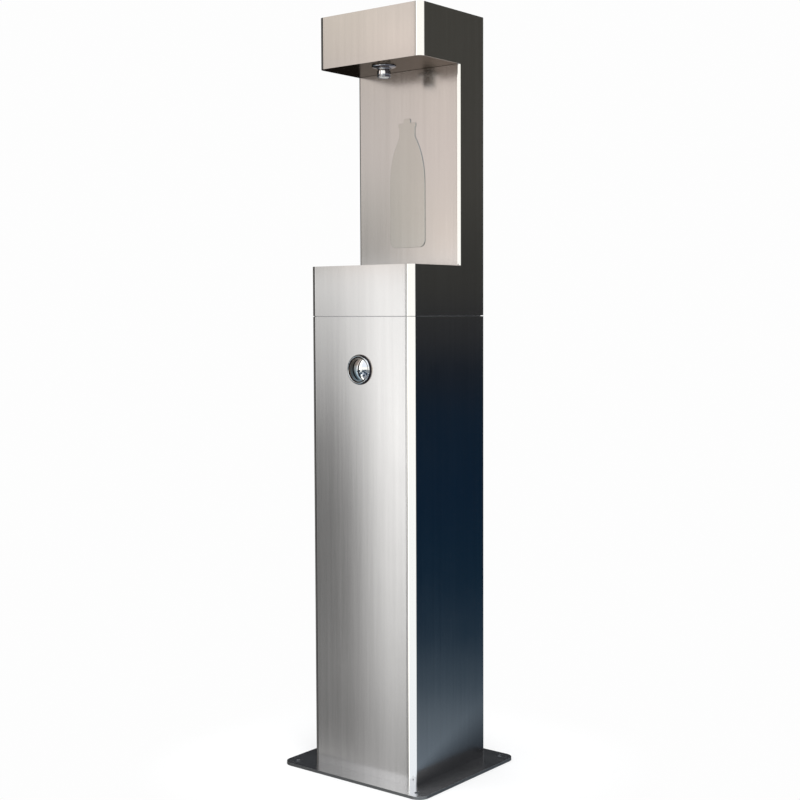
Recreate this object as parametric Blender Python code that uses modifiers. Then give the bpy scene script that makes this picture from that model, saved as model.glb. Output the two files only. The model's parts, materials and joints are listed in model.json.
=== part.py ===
"""Free-standing bottle-filling drinking fountain: a folded stainless column.

A floor plate carries a square column with a rear service door.  Above a seam
sits a C-shaped upper module: a collar with a recessed drip shelf, a spine that
backs the open bottle bay, and a head that overhangs the bay and carries the
outlet.  Pressing the domed button on the front opens the metering valve.

Axes: +X to the user's right, +Y from the user into the column, +Z up.
Origin: centre of the column's footprint, on the floor.
Dimensions are in millimetres and are scaled to metres where meshes are made.
"""

import math

import bmesh
import bpy
from mathutils import Matrix, Vector

MM = 0.001

# -------------------------------------------------------- shared dimensions
TOTAL_H = 1500.0          # floor to the top of the head
COL_W = 257.0             # column width
COL_D = 236.0             # column depth
SHEET = 1.5               # casing sheet thickness
BEND_R = 13.0             # outer bend radius of the front corners
REAR_R = 4.0              # outer bend radius of the rear corners
GAP = 0.4                 # running or assembly gap between neighbours
PIPE_GAP = 0.5            # gap between a pipe's end and its fitting
OVERCUT = 20.0            # how far a cutter overruns the faces it opens

BASE_T = 6.0              # floor plate thickness
SEAM_Z = 910.0            # underside of the upper module
SEAM_GAP = 1.5
SHELF_Z = 1008.0          # top edge of the collar
SOFFIT_Z = 1399.0         # underside of the head
HEAD_SET_BACK = 30.0      # head front behind the column front
BAY_Y = 34.0              # bay back wall
REAR_OPEN_X = 110.0       # half width of both rear openings
COVER_X = 122.0           # half width of the upper rear panel, right edge of the door

BUTTON_Z = 806.0
BARREL_R = 27.0           # threaded barrel behind the button's flange
OUTLET_Y = -40.0
TRAY_Y = -42.0            # centre of the drip tray

FRONT_Y = -COL_D / 2.0
BACK_Y = COL_D / 2.0
HALF_W = COL_W / 2.0
HEAD_Y = FRONT_Y + HEAD_SET_BACK

# faces of a piece that fits inside the casing with a gap
INSET = SHEET + GAP
IN_W = HALF_W - INSET     # half width
IN_FRONT = FRONT_Y + INSET
IN_BACK = BACK_Y - INSET
IN_R = BEND_R - INSET

# front and back face of the covers hung behind the column
COVER_Y0 = BACK_Y + GAP
COVER_Y1 = COVER_Y0 + SHEET

AXIS_OUT = Matrix.Rotation(math.radians(90), 3, "X")    # local +Z points to -Y, out of the front
AXIS_BACK = Matrix.Rotation(math.radians(-90), 3, "X")  # local +Z points to +Y, out of the back

# finish: (base colour, roughness, metallic)
FINISHES = {
    "brushed": ((0.62, 0.61, 0.59), 0.32, 1.0),
    "chrome": ((0.80, 0.80, 0.81), 0.06, 1.0),
    "base": ((0.58, 0.58, 0.59), 0.22, 1.0),
    "steel": ((0.50, 0.50, 0.51), 0.38, 1.0),
    "spring": ((0.42, 0.42, 0.44), 0.30, 1.0),
    "brass": ((0.72, 0.52, 0.22), 0.28, 1.0),
    "rubber": ((0.03, 0.03, 0.03), 0.75, 0.0),
    "plastic": ((0.80, 0.80, 0.78), 0.50, 0.0),
    "hose": ((0.55, 0.56, 0.58), 0.35, 1.0),
    "handle": ((0.60, 0.04, 0.03), 0.45, 0.0),
}

# --------------------------------------------------------------- scene setup
for old in list(bpy.data.objects):
    bpy.data.objects.remove(old, do_unlink=True)

scene = bpy.context.scene
parts = bpy.data.collections.new("drinking_fountain")
cutters = bpy.data.collections.new("drinking_fountain_cutters")
scene.collection.children.link(parts)
scene.collection.children.link(cutters)


# --------------------------------------------------------- objects, booleans
def finish(obj, kind):
    """Give the object its own material in one of the finishes."""
    colour, roughness, metallic = FINISHES[kind]
    mat = bpy.data.materials.new(obj.name + "_mat")
    mat.use_nodes = True
    bsdf = next(n for n in mat.node_tree.nodes if n.type == "BSDF_PRINCIPLED")
    bsdf.inputs["Base Color"].default_value = (*colour, 1.0)
    bsdf.inputs["Roughness"].default_value = roughness
    bsdf.inputs["Metallic"].default_value = metallic
    obj.data.materials.append(mat)


def new_object(name, mesh, collection, at, turn):
    obj = bpy.data.objects.new(name, mesh)
    obj.location = Vector(at) * MM
    if turn is not None:
        obj.rotation_euler = turn.to_euler()
    collection.objects.link(obj)
    return obj


def place(name, mesh, kind, at=(0, 0, 0), turn=None):
    """A visible piece of the product."""
    obj = new_object(name, mesh, parts, at, turn)
    finish(obj, kind)
    return obj


def guide(name, mesh, at=(0, 0, 0), turn=None):
    """A hidden helper for the boolean modifiers."""
    obj = new_object(name, mesh, cutters, at, turn)
    obj.hide_render = True
    obj.display_type = "WIRE"
    return obj


def boolean(obj, tool, operation):
    mod = obj.modifiers.new(operation.lower() + "_" + tool.name, "BOOLEAN")
    mod.operation = operation
    mod.solver = "EXACT"
    mod.object = tool


def cut(obj, tool):
    boolean(obj, tool, "DIFFERENCE")


def join(obj, tool):
    boolean(obj, tool, "UNION")


def add_wall(obj, name, thickness):
    """Thicken a surface against its normals."""
    mod = obj.modifiers.new(name, "SOLIDIFY")
    mod.thickness = thickness * MM
    mod.offset = -1.0
    return mod


# ------------------------------------------------------------ plan outlines
def arc(centre_x, centre_y, radius, start, end, segments):
    """Points from one angle to another, in degrees, both ends included."""
    angles = [math.radians(start + (end - start) * i / segments) for i in range(segments + 1)]
    return [(centre_x + radius * math.cos(a), centre_y + radius * math.sin(a)) for a in angles]


def rounded_rect(centre_x, centre_y, width, depth, radius, segments):
    points = []
    for side_x, side_y, start in ((1, 1, 0), (-1, 1, 90), (-1, -1, 180), (1, -1, 270)):
        points += arc(centre_x + side_x * (width / 2 - radius),
                      centre_y + side_y * (depth / 2 - radius),
                      radius, start, start + 90, segments)
    return points


def ring_points(centre_x, centre_y, radius, count):
    angles = [2 * math.pi * i / count for i in range(count)]
    return [(centre_x + radius * math.cos(a), centre_y + radius * math.sin(a)) for a in angles]


# ------------------------------------------------------------- mesh builders
def mesh_from(name, bm):
    mesh = bpy.data.meshes.new(name)
    bm.to_mesh(mesh)
    bm.free()
    return mesh


def front_edge(middle):
    """True for the upright front edges of the column and of the head."""
    return middle.y < HEAD_Y + 5.0


def rear_edge(middle):
    return middle.y > BACK_Y - 10.0


def casing_rounds(inset=0.0):
    """Corner bends of the casing, or of a block set inside it."""
    return ((front_edge, BEND_R - inset, 5), (rear_edge, REAR_R - inset, 2))


def round_uprights(bm, rounds):
    """Bevel vertical edges; rounds lists (test of the edge's middle, radius, segments)."""
    for test, radius, segments in rounds:
        edges = []
        for edge in bm.edges:
            a, b = (vert.co / MM for vert in edge.verts)
            upright = abs(a.x - b.x) < 0.01 and abs(a.y - b.y) < 0.01
            if upright and test((a + b) * 0.5):
                edges.append(edge)
        bmesh.ops.bevel(bm, geom=edges, offset=radius * MM, offset_type="OFFSET",
                        segments=segments, profile=0.5, affect="EDGES")


def box_mesh(name, low, high, rounds=()):
    """A block between two corners, with rounded uprights."""
    low, high = Vector(low), Vector(high)
    bm = bmesh.new()
    bmesh.ops.create_cube(bm, size=1.0)
    bmesh.ops.scale(bm, vec=(high - low) * MM, verts=bm.verts)
    bmesh.ops.translate(bm, vec=(high + low) * 0.5 * MM, verts=bm.verts)
    round_uprights(bm, rounds)
    return mesh_from(name, bm)


def box(name, low, high, kind, rounds=()):
    return place(name, box_mesh(name, low, high, rounds), kind)


def box_tool(name, low, high, rounds=()):
    return guide(name, box_mesh(name, low, high, rounds))


def cylinder_mesh(name, radius, z0, z1, steps):
    bm = bmesh.new()
    bmesh.ops.create_cone(bm, cap_ends=True, cap_tris=False, segments=steps,
                          radius1=radius * MM, radius2=radius * MM, depth=(z1 - z0) * MM)
    bmesh.ops.translate(bm, vec=(0, 0, (z0 + z1) / 2 * MM), verts=bm.verts)
    return mesh_from(name, bm)


def cylinder_tool(name, radius, z0, z1, at, turn=None, steps=24):
    return guide(name, cylinder_mesh(name, radius, z0, z1, steps), at, turn)


def sphere_mesh(name, radius):
    bm = bmesh.new()
    bmesh.ops.create_uvsphere(bm, u_segments=14, v_segments=8, radius=radius * MM)
    return mesh_from(name, bm)


def drills(name, radius, length, places, turn, steps=10):
    """Several equal round drills in one cutter, all along the same direction."""
    bm = bmesh.new()
    for spot in places:
        bmesh.ops.create_cone(bm, cap_ends=True, cap_tris=False, segments=steps,
                              radius1=radius * MM, radius2=radius * MM, depth=length * MM,
                              matrix=Matrix.Translation(Vector(spot) * MM) @ turn.to_4x4())
    return guide(name, mesh_from(name, bm))


def turned(name, profile, kind, at, turn=None, steps=24, closed=False):
    """A profile of (radius, height) pairs, running down its outer side, spun about local Z."""
    bm = bmesh.new()
    verts = [bm.verts.new((radius * MM, 0.0, height * MM)) for radius, height in profile]
    for pair in zip(verts, verts[1:]):
        bm.edges.new(pair)
    if closed:
        bm.edges.new((verts[-1], verts[0]))
    obj = place(name, mesh_from(name, bm), kind, at, turn)
    mod = obj.modifiers.new("turn", "SCREW")
    mod.axis = "Z"
    mod.angle = 2 * math.pi
    mod.steps = steps
    mod.render_steps = steps
    mod.use_merge_vertices = True
    mod.merge_threshold = 0.00001
    mod.use_smooth_shade = True
    return obj


def washer(name, outer_r, inner_r, top, bottom, at, turn=None, steps=20):
    """A flat rubber ring between two heights on its own axis."""
    profile = [(outer_r, top), (outer_r, bottom), (inner_r, bottom), (inner_r, top)]
    turned(name, profile, "rubber", at, turn, steps, closed=True)


# ------------------------------------------------------- curve-based builders
def add_spline(curve, points, cyclic=False):
    spline = curve.splines.new("POLY")
    spline.points.add(len(points) - 1)
    spline.use_cyclic_u = cyclic
    for point, (x, y, z) in zip(spline.points, points):
        point.co = (x * MM, y * MM, z * MM, 1.0)


def curve_to_mesh(name, curve):
    carrier = bpy.data.objects.new(name + "_curve", curve)
    scene.collection.objects.link(carrier)
    bpy.context.view_layer.update()
    graph = bpy.context.evaluated_depsgraph_get()
    mesh = bpy.data.meshes.new_from_object(carrier.evaluated_get(graph))
    mesh.name = name
    # weld the caps to the sides
    bm = bmesh.new()
    bm.from_mesh(mesh)
    bmesh.ops.remove_doubles(bm, verts=bm.verts, dist=0.00001)
    bm.to_mesh(mesh)
    bm.free()
    bpy.data.objects.remove(carrier, do_unlink=True)
    bpy.data.curves.remove(curve)
    return mesh


def flat_mesh(name, loops, thickness):
    """A flat outline (first loop) with holes, centred on its own mid plane."""
    curve = bpy.data.curves.new(name, "CURVE")
    curve.dimensions = "2D"
    curve.fill_mode = "BOTH"
    curve.extrude = thickness * MM / 2.0
    for loop in loops:
        add_spline(curve, [(x, y, 0.0) for x, y in loop], cyclic=True)
    return curve_to_mesh(name, curve)


def plate(name, loops, thickness, kind, at=(0, 0, 0), turn=None):
    """A flat piece with its normals facing outward."""
    mesh = flat_mesh(name, loops, thickness)
    bm = bmesh.new()
    bm.from_mesh(mesh)
    bmesh.ops.recalc_face_normals(bm, faces=bm.faces)
    bm.to_mesh(mesh)
    bm.free()
    return place(name, mesh, kind, at, turn)


def nut(name, corner_r, hole_r, h0, h1, kind, at, turn=None, sides=6):
    """A flat-sided nut with a round bore, between two heights on its own axis."""
    loops = [ring_points(0, 0, corner_r, sides), ring_points(0, 0, hole_r, 20)]
    obj = plate(name, loops, h1 - h0, kind, at, turn)
    obj.data.transform(Matrix.Translation((0, 0, (h0 + h1) / 2 * MM)))


def inner_band(name, z0, z1, wall=3.0):
    """A closed steel band that fits inside the column casing."""
    middle_y = (IN_FRONT + IN_BACK) / 2
    depth = IN_BACK - IN_FRONT
    outer = rounded_rect(0, middle_y, 2 * IN_W, depth, IN_R, 3)
    inner = rounded_rect(0, middle_y, 2 * (IN_W - wall), depth - 2 * wall, IN_R - wall, 3)
    plate(name, [outer, inner], z1 - z0, "steel", (0, 0, (z0 + z1) / 2))


def round_wire(name, points, radius, resolution, capped):
    """A mesh of round section swept along the points."""
    curve = bpy.data.curves.new(name, "CURVE")
    curve.dimensions = "3D"
    curve.fill_mode = "FULL"
    curve.bevel_depth = radius * MM
    curve.bevel_resolution = resolution
    curve.use_fill_caps = capped
    add_spline(curve, points)
    return curve_to_mesh(name, curve)


def bent_path(points, radius, segments=4):
    """A polyline through points whose inner corners are bent to a radius."""
    points = [Vector(p) for p in points]
    path = [points[0]]
    for before, corner, after in zip(points, points[1:], points[2:]):
        to_before = (before - corner).normalized()
        to_after = (after - corner).normalized()
        half = to_before.angle(to_after) / 2.0
        reach = radius / math.tan(half)
        centre = corner + (to_before + to_after).normalized() * (radius / math.sin(half))
        start = corner + to_before * reach - centre
        end = corner + to_after * reach - centre
        total = start.angle(end)
        for i in range(segments + 1):
            t = i / segments
            arm = start * math.sin((1 - t) * total) + end * math.sin(t * total)
            path.append(centre + arm / math.sin(total))
    path.append(points[-1])
    return path


def tube(name, points, outer_r, wall, kind, bend=0.0):
    """A bent pipe, thickened inwards so both ends stay open."""
    mesh = round_wire(name, bent_path(points, bend), outer_r, resolution=2, capped=False)
    mesh.shade_smooth()
    mesh.set_sharp_from_angle(angle=math.radians(60))
    add_wall(place(name, mesh, kind), "wall", wall)


# --------------------------------------------------- floor plate and its band
BASE_W, BASE_D, BASE_R = 357.0, 317.0, 22.0
ANCHOR_X, ANCHOR_Y, ANCHOR_R = 154.0, 138.0, 6.0


def build_base():
    loops = [rounded_rect(0, 0, BASE_W, BASE_D, BASE_R, 5)]
    for side_x in (-1, 1):
        for side_y in (-1, 1):
            loops.append(ring_points(side_x * ANCHOR_X, side_y * ANCHOR_Y, ANCHOR_R, 16))
    # window the pipes pass through
    loops.append(rounded_rect(0, 30.0, 150.0, 90.0, 8.0, 2))
    plate("base_plate", loops, BASE_T, "base", (0, 0, BASE_T / 2))
    inner_band("base_upstand", BASE_T + GAP, BASE_T + 30.0)


# --------------------------------------------------------------- the casings
def rear_opening(name, z0, z1):
    return box_tool(name, (-REAR_OPEN_X, BACK_Y - OVERCUT, z0),
                    (REAR_OPEN_X, BACK_Y + OVERCUT, z1))


def build_lower_casing():
    z0 = BASE_T + GAP
    z1 = SEAM_Z - SEAM_GAP
    lower = box("lower_casing", (-HALF_W, FRONT_Y, z0), (HALF_W, BACK_Y, z1), "brushed",
                casing_rounds())
    cut(lower, box_tool("lower_void", (-HALF_W + SHEET, FRONT_Y + SHEET, z0 - OVERCUT),
                        (HALF_W - SHEET, BACK_Y - SHEET, z1 + OVERCUT), casing_rounds(SHEET)))
    cut(lower, rear_opening("lower_rear_opening", 44.0, 876.0))
    cut(lower, cylinder_tool("button_hole", BARREL_R + GAP, -OVERCUT, OVERCUT,
                             (0, FRONT_Y, BUTTON_Z), AXIS_OUT))
    # band that bridges the seam from inside
    inner_band("joint_collar", SEAM_Z - 24.0, SEAM_Z + 14.0)


NICHE_R = 5.5             # outer bend radius beside the bay's back wall
SPINE_FRONT = BAY_Y + NICHE_R + 1.0


def c_mesh(name, spine, inset=0.0, overrun=0.0):
    """The C-shaped side outline extruded across the width, with bent uprights.

    The inset shrinks it inside the sheet; the overrun lengthens it up and down.
    """
    front, head, back = FRONT_Y + inset, HEAD_Y + inset, BACK_Y - inset
    z0, z1 = SEAM_Z - overrun, TOTAL_H + overrun
    shelf, soffit = SHELF_Z + overrun, SOFFIT_Z - overrun
    loop = [(front, z0), (back, z0), (back, z1), (head, z1),
            (head, soffit), (spine, soffit), (spine, shelf), (front, shelf)]
    mesh = flat_mesh(name, [loop], COL_W - 2 * inset)
    # outline x, y and thickness become world Y, Z and X
    mesh.transform(Matrix(((0, 0, 1, 0), (1, 0, 0, 0), (0, 1, 0, 0), (0, 0, 0, 1))))
    bm = bmesh.new()
    bm.from_mesh(mesh)
    bmesh.ops.recalc_face_normals(bm, faces=bm.faces)
    bmesh.ops.dissolve_limit(bm, angle_limit=0.01, verts=bm.verts, edges=bm.edges)
    round_uprights(bm, casing_rounds(inset))
    bm.to_mesh(mesh)
    bm.free()
    return mesh


def build_upper_casing():
    upper = place("upper_casing", c_mesh("upper_casing", SPINE_FRONT), "brushed")
    # the void reaches past the spine's front, which the niche panel closes
    cut(upper, guide("upper_void", c_mesh("upper_void", BAY_Y - 14.0, SHEET, OVERCUT)))
    cut(upper, rear_opening("upper_rear_opening", 940.0, 1480.0))
    return upper


def build_niche_panel():
    """The bay's back wall, folded at both sides to meet the side sheets."""
    fold_x, fold_y = HALF_W - NICHE_R, BAY_Y + NICHE_R
    end_y = SPINE_FRONT - GAP
    path = [(-HALF_W, end_y)]
    path += arc(-fold_x, fold_y, NICHE_R, 180, 270, 4)
    path += arc(fold_x, fold_y, NICHE_R, 270, 360, 4)
    path.append((HALF_W, end_y))
    z0, z1 = SHELF_Z + GAP, SOFFIT_Z - GAP

    bm = bmesh.new()
    low = [bm.verts.new((x * MM, y * MM, z0 * MM)) for x, y in path]
    edges = [bm.edges.new(pair) for pair in zip(low, low[1:])]
    raised = bmesh.ops.extrude_edge_only(bm, edges=edges)
    top = [item for item in raised["geom"] if isinstance(item, bmesh.types.BMVert)]
    bmesh.ops.translate(bm, vec=(0, 0, (z1 - z0) * MM), verts=top)
    # face the bay, so that the sheet thickens away from it
    bm.normal_update()
    front = min(bm.faces, key=lambda face: face.calc_center_median().y)
    if front.normal.y > 0:
        bmesh.ops.reverse_faces(bm, faces=bm.faces)
    panel = place("niche_panel", mesh_from("niche_panel", bm), "brushed")
    add_wall(panel, "sheet", SHEET).use_even_offset = True


EMBLEM_T = 1.6
BODY_HALF, NECK_HALF = 44.0, 19.4     # half widths of the bottle
FOOT_Z, FOOT_R = 1047.0, 14.0
SHOULDER_Z, NECK_Z = 1165.0, 1268.0   # the shoulder curves in between these
# (half width, z) up the neck, collar and cap
BOTTLE_TOP = [(NECK_HALF, 1286.0), (21.6, 1287.6), (21.6, 1295.0),
              (8.4, 1296.0), (8.4, 1301.5), (5.6, 1304.0)]


def build_emblem():
    """A flat bottle outline standing just in front of the bay's back wall."""
    side = arc(BODY_HALF - FOOT_R, FOOT_Z + FOOT_R, FOOT_R, -90, 0, 5)
    steps = 10
    for i in range(steps + 1):
        t = i / steps
        side.append((NECK_HALF + (BODY_HALF - NECK_HALF) * (1.0 - t ** 2.5),
                     SHOULDER_Z + (NECK_Z - SHOULDER_Z) * t))
    side += BOTTLE_TOP
    loop = side + [(-x, z) for x, z in reversed(side)]
    plate("bottle_emblem", [loop], EMBLEM_T, "brushed",
          (0, BAY_Y - 0.3 - EMBLEM_T / 2, 0), AXIS_OUT)


def build_head_plates():
    soffit = box("head_soffit", (-IN_W, HEAD_Y + INSET, SOFFIT_Z),
                 (IN_W, BAY_Y + 12.0, SOFFIT_Z + SHEET), "brushed", ((front_edge, IN_R, 5),))
    cut(soffit, cylinder_tool("outlet_hole", 11.0, -10, 10, (0, OUTLET_Y, SOFFIT_Z), steps=20))
    lid_top = TOTAL_H - 0.5
    box("top_cover", (-IN_W, HEAD_Y + INSET, lid_top - SHEET), (IN_W, IN_BACK, lid_top),
        "brushed", casing_rounds(INSET))


# ------------------------------------------------------- drip shelf and drain
SHELF_PLATE_Z = 1000.0
SHELF_BACK_Y = BAY_Y + 14.0
RIM_T = 1.0                             # tray rim thickness
TRAY_TOP = SHELF_PLATE_Z + SHEET + GAP + RIM_T
RIM_X, RIM_Y = 96.0, 60.0               # half sizes of the tray rim
PAN_X, PAN_Y = 87.0, 51.0               # half sizes of the pan under it
PAN_Z = 974.0                           # underside of the pan
PAN_WALL = 1.2
GRATE_T = 2.5
SLOT_COUNT, SLOT_PITCH = 9, 18.0

# (radius, world z)
DRAIN_PROFILE = [(16.0, 977.2), (16.0, 975.6), (9.4, 975.6), (9.4, 945.0),
                 (7.0, 945.0), (7.0, 976.0), (7.6, 977.2)]


def build_shelf():
    """The recessed shelf plate, with its opening for the tray."""
    outline = rounded_rect(0, (FRONT_Y + SHELF_BACK_Y) / 2, 2 * IN_W,
                           SHELF_BACK_Y - FRONT_Y - 2 * INSET, IN_R, 3)
    opening = rounded_rect(0, TRAY_Y, 178.0, 106.0, 6.0, 2)
    plate("shelf_plate", [outline, opening], SHEET, "brushed", (0, 0, SHELF_PLATE_Z + SHEET / 2))


def tray_corners(half_x, half_y, z0, z1):
    """Opposite corners of a block centred on the tray."""
    return (-half_x, TRAY_Y - half_y, z0), (half_x, TRAY_Y + half_y, z1)


def build_tray():
    tray = box("drip_tray", *tray_corners(RIM_X, RIM_Y, TRAY_TOP - RIM_T, TRAY_TOP), "brushed")
    join(tray, box_tool("tray_pan", *tray_corners(PAN_X, PAN_Y, PAN_Z, TRAY_TOP - 0.5)))
    cut(tray, box_tool("tray_hollow", *tray_corners(PAN_X - PAN_WALL, PAN_Y - PAN_WALL,
                                                    PAN_Z + PAN_WALL, TRAY_TOP + 9.0)))
    cut(tray, cylinder_tool("tray_drain_hole", 10.4, -10, 10, (0, TRAY_Y, PAN_Z), steps=16))


def build_grate():
    """The slotted plate lying on the tray rim."""
    loops = [rounded_rect(0, TRAY_Y, 186.0, 112.0, 4.0, 2)]
    for i in range(SLOT_COUNT):
        slot_x = (i - SLOT_COUNT // 2) * SLOT_PITCH
        loops.append(rounded_rect(slot_x, TRAY_Y, 8.0, 84.0, 3.9, 2))
    plate("drip_grate", loops, GRATE_T, "brushed", (0, 0, TRAY_TOP + GAP + GRATE_T / 2))


def build_drain():
    at = (0, TRAY_Y, 0)
    turned("drain_fitting", DRAIN_PROFILE, "chrome", at, steps=20, closed=True)
    washer("drain_washer", 15.0, 9.8, 973.6, 971.4, at)
    nut("waste_nut", 17.0, 9.9, 963.0, 971.0, "plastic", at, sides=8)


# ----------------------------------------------- push button, metering valve
# Heights along the button's axis are positive out of the column's front face.
AT_BUTTON = (0, FRONT_Y, BUTTON_Z)
FLANGE_R = 29.6
DOME_R = 24.0
DOME_TOP, DOME_EDGE = 13.0, 4.6
DOME_EDGE_R = DOME_R - 0.6
PORT_Y = FRONT_Y + 62.0                 # axis of the valve's inlet and outlet
PORT_REACH = 34.0                       # port ends above and below the button's axis
AT_PORTS = (0, PORT_Y, BUTTON_Z)

# (radius, height)
FLANGE_PROFILE = [(25.4, 6.4), (27.0, 6.2), (28.6, 4.4), (FLANGE_R, 2.0), (FLANGE_R, 0.3),
                  (BARREL_R, 0.3), (BARREL_R, -24.0), (24.5, -24.0), (24.5, 5.4)]
BUTTON_SKIRT = [(DOME_R, 3.6), (DOME_R, -16.0), (20.8, -16.0), (20.8, -8.0), (0.0, -8.0)]
STEM_PROFILE = [(0.0, -8.4), (5.0, -8.4), (5.0, -42.0), (3.6, -43.0), (0.0, -43.0)]
VALVE_PROFILE = [(0.0, -54.0), (5.6, -54.0), (5.6, -31.0), (13.6, -31.0), (13.6, -25.0),
                 (16.0, -25.0), (20.0, -25.5), (20.0, -34.0), (16.5, -35.0), (16.5, -72.0),
                 (14.5, -74.0), (0.0, -74.0)]


def dome_profile(steps=4):
    """A spherical cap from the dome's top down to its edge."""
    rise = DOME_TOP - DOME_EDGE
    sphere_r = (DOME_EDGE_R ** 2 + rise ** 2) / (2 * rise)
    edge_lean = math.asin(DOME_EDGE_R / sphere_r)
    leans = [edge_lean * step / steps for step in range(steps + 1)]
    return [(sphere_r * math.sin(lean), DOME_TOP - sphere_r * (1 - math.cos(lean)))
            for lean in leans]


def build_button():
    turned("button_flange", FLANGE_PROFILE, "chrome", AT_BUTTON, AXIS_OUT, 32, closed=True)
    turned("push_button", dome_profile() + BUTTON_SKIRT, "chrome", AT_BUTTON, AXIS_OUT, 32)
    washer("button_washer", 32.0, 27.5, -2.0, -4.0, AT_BUTTON, AXIS_OUT, 24)
    nut("button_locknut", 36.0, 27.5, -10.6, -4.4, "brass", AT_BUTTON, AXIS_OUT, 8)
    turned("valve_stem", STEM_PROFILE, "steel", AT_BUTTON, AXIS_OUT, 16)


def build_valve():
    """Body with a stem bore, an inlet nipple below and an outlet nipple above."""
    valve = turned("valve_body", VALVE_PROFILE, "brass", AT_BUTTON, AXIS_OUT, 20)
    join(valve, cylinder_tool("valve_ports", 8.0, -PORT_REACH, PORT_REACH, AT_PORTS, steps=16))
    cut(valve, cylinder_tool("valve_inlet_bore", 4.5, -60.0, -12.0, AT_PORTS, steps=10))
    cut(valve, cylinder_tool("valve_outlet_bore", 4.5, 12.0, 60.0, AT_PORTS, steps=10))


COILS, PER_COIL = 4, 9
SPRING_R, SPRING_WIRE_R = 9.0, 0.8
SPRING_START, SPRING_LENGTH = 9.4, 20.2   # behind the column front


def build_spring():
    """Return spring between the button's back and the valve body's seat."""
    steps = COILS * PER_COIL
    points = []
    for i in range(steps + 1):
        t = i / steps
        angle = 2 * math.pi * COILS * t
        points.append((SPRING_R * math.cos(angle),
                       FRONT_Y + SPRING_START + SPRING_LENGTH * t,
                       BUTTON_Z + SPRING_R * math.sin(angle)))
    place("return_spring",
          round_wire("return_spring", points, SPRING_WIRE_R, resolution=1, capped=True), "spring")


# ----------------------------------------------------------- supply pipework
SUPPLY_X, SUPPLY_Y = -44.0, 52.0
WASTE_X = 44.0
ISO_Z = 170.0                           # middle of the isolation valve
ISO_REACH = 30.0                        # half length of its body
AT_ISO = (SUPPLY_X, SUPPLY_Y, ISO_Z)
RISER_X, RISER_Y, RISER_R = -30.0, 66.0, 5.0   # outlet tube inside the spine
RISER_TOP = 1462.0
PIPE_FOOT_Z = 2.0


def build_isolation_valve():
    iso = place("isolation_valve_body",
                cylinder_mesh("isolation_valve_body", 15.0, -ISO_REACH, ISO_REACH, 16),
                "brass", AT_ISO)
    join(iso, cylinder_tool("iso_neck", 9.0, 0.0, 22.0, AT_ISO, AXIS_BACK, 16))
    cut(iso, cylinder_tool("iso_bore", 6.0, -40, 40, AT_ISO, steps=12))
    cut(iso, guide("iso_seat", sphere_mesh("iso_seat", 9.6), AT_ISO))
    cut(iso, cylinder_tool("iso_stem_bore", 3.6, 2.0, 40, AT_ISO, AXIS_BACK, 12))

    ball = place("isolation_ball", sphere_mesh("isolation_ball", 8.8), "chrome", AT_ISO)
    cut(ball, cylinder_tool("ball_bore", 5.2, -20, 20, AT_ISO, steps=12))

    # stem towards the back, with an upright arm
    lever = place("isolation_lever", cylinder_mesh("isolation_lever", 3.0, 9.4, 30.0, 12),
                  "handle", AT_ISO, AXIS_BACK)
    join(lever, box_tool("lever_arm", (SUPPLY_X - 6.0, SUPPLY_Y + 23.0, ISO_Z - 7.0),
                         (SUPPLY_X + 6.0, SUPPLY_Y + 26.0, ISO_Z + 48.0)))


def build_pipes():
    iso_end = ISO_REACH + PIPE_GAP
    port_end = PORT_REACH + PIPE_GAP
    tube("waste_pipe", [(0, TRAY_Y, 962.0), (0, TRAY_Y, 916.0), (WASTE_X, SUPPLY_Y, 868.0),
                        (WASTE_X, SUPPLY_Y, PIPE_FOOT_Z)], 13.0, 2.0, "plastic", 27.0)
    tube("inlet_pipe", [(SUPPLY_X, SUPPLY_Y, PIPE_FOOT_Z),
                        (SUPPLY_X, SUPPLY_Y, ISO_Z - iso_end)], 8.0, 1.4, "hose")
    tube("supply_hose", [(SUPPLY_X, SUPPLY_Y, ISO_Z + iso_end), (SUPPLY_X, SUPPLY_Y, 660.0),
                         (0.0, PORT_Y, 710.0), (0.0, PORT_Y, BUTTON_Z - port_end)],
         7.0, 1.4, "hose", 24.0)
    tube("outlet_tube", [(0.0, PORT_Y, BUTTON_Z + port_end), (0.0, PORT_Y, 868.0),
                         (RISER_X, RISER_Y, 915.0), (RISER_X, RISER_Y, RISER_TOP),
                         (0.0, OUTLET_Y, RISER_TOP),
                         (0.0, OUTLET_Y, SOFFIT_Z + NOZZLE_TOP + PIPE_GAP)],
         RISER_R, 1.0, "hose", 20.0)


def build_clip(name, z):
    """A saddle behind the bay wall, with a C-shaped jaw round the outlet tube."""
    clip = box(name, (RISER_X - 7.5, BAY_Y + SHEET + GAP, z - 6.0),
               (RISER_X + 7.5, RISER_Y + 2.5, z + 6.0), "plastic")
    cut(clip, cylinder_tool(name + "_jaw", RISER_R + 0.6, -20, 20, (RISER_X, RISER_Y, z),
                            steps=14))


# -------------------------------------------------------------------- outlet
# Profiles are (radius, height above the soffit's underside).
AT_OUTLET = (0, OUTLET_Y, SOFFIT_Z)
NOZZLE_TOP = 25.0
OUTLET_FLANGE_PROFILE = [(14.5, -0.4), (24.0, -0.4), (24.0, -2.0), (20.5, -4.2), (15.5, -5.2),
                         (14.5, -5.2)]
NOZZLE_PROFILE = [(6.4, NOZZLE_TOP), (9.8, NOZZLE_TOP), (9.8, -0.6), (14.0, -0.6),
                  (14.0, -21.0), (12.8, -23.0), (11.2, -23.0), (11.2, -11.0), (6.4, -9.0)]
AERATOR_PROFILE = [(10.8, -12.5), (10.8, -21.6), (9.0, -22.6), (3.0, -22.6), (3.0, -19.5),
                   (3.0, -12.5)]


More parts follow.
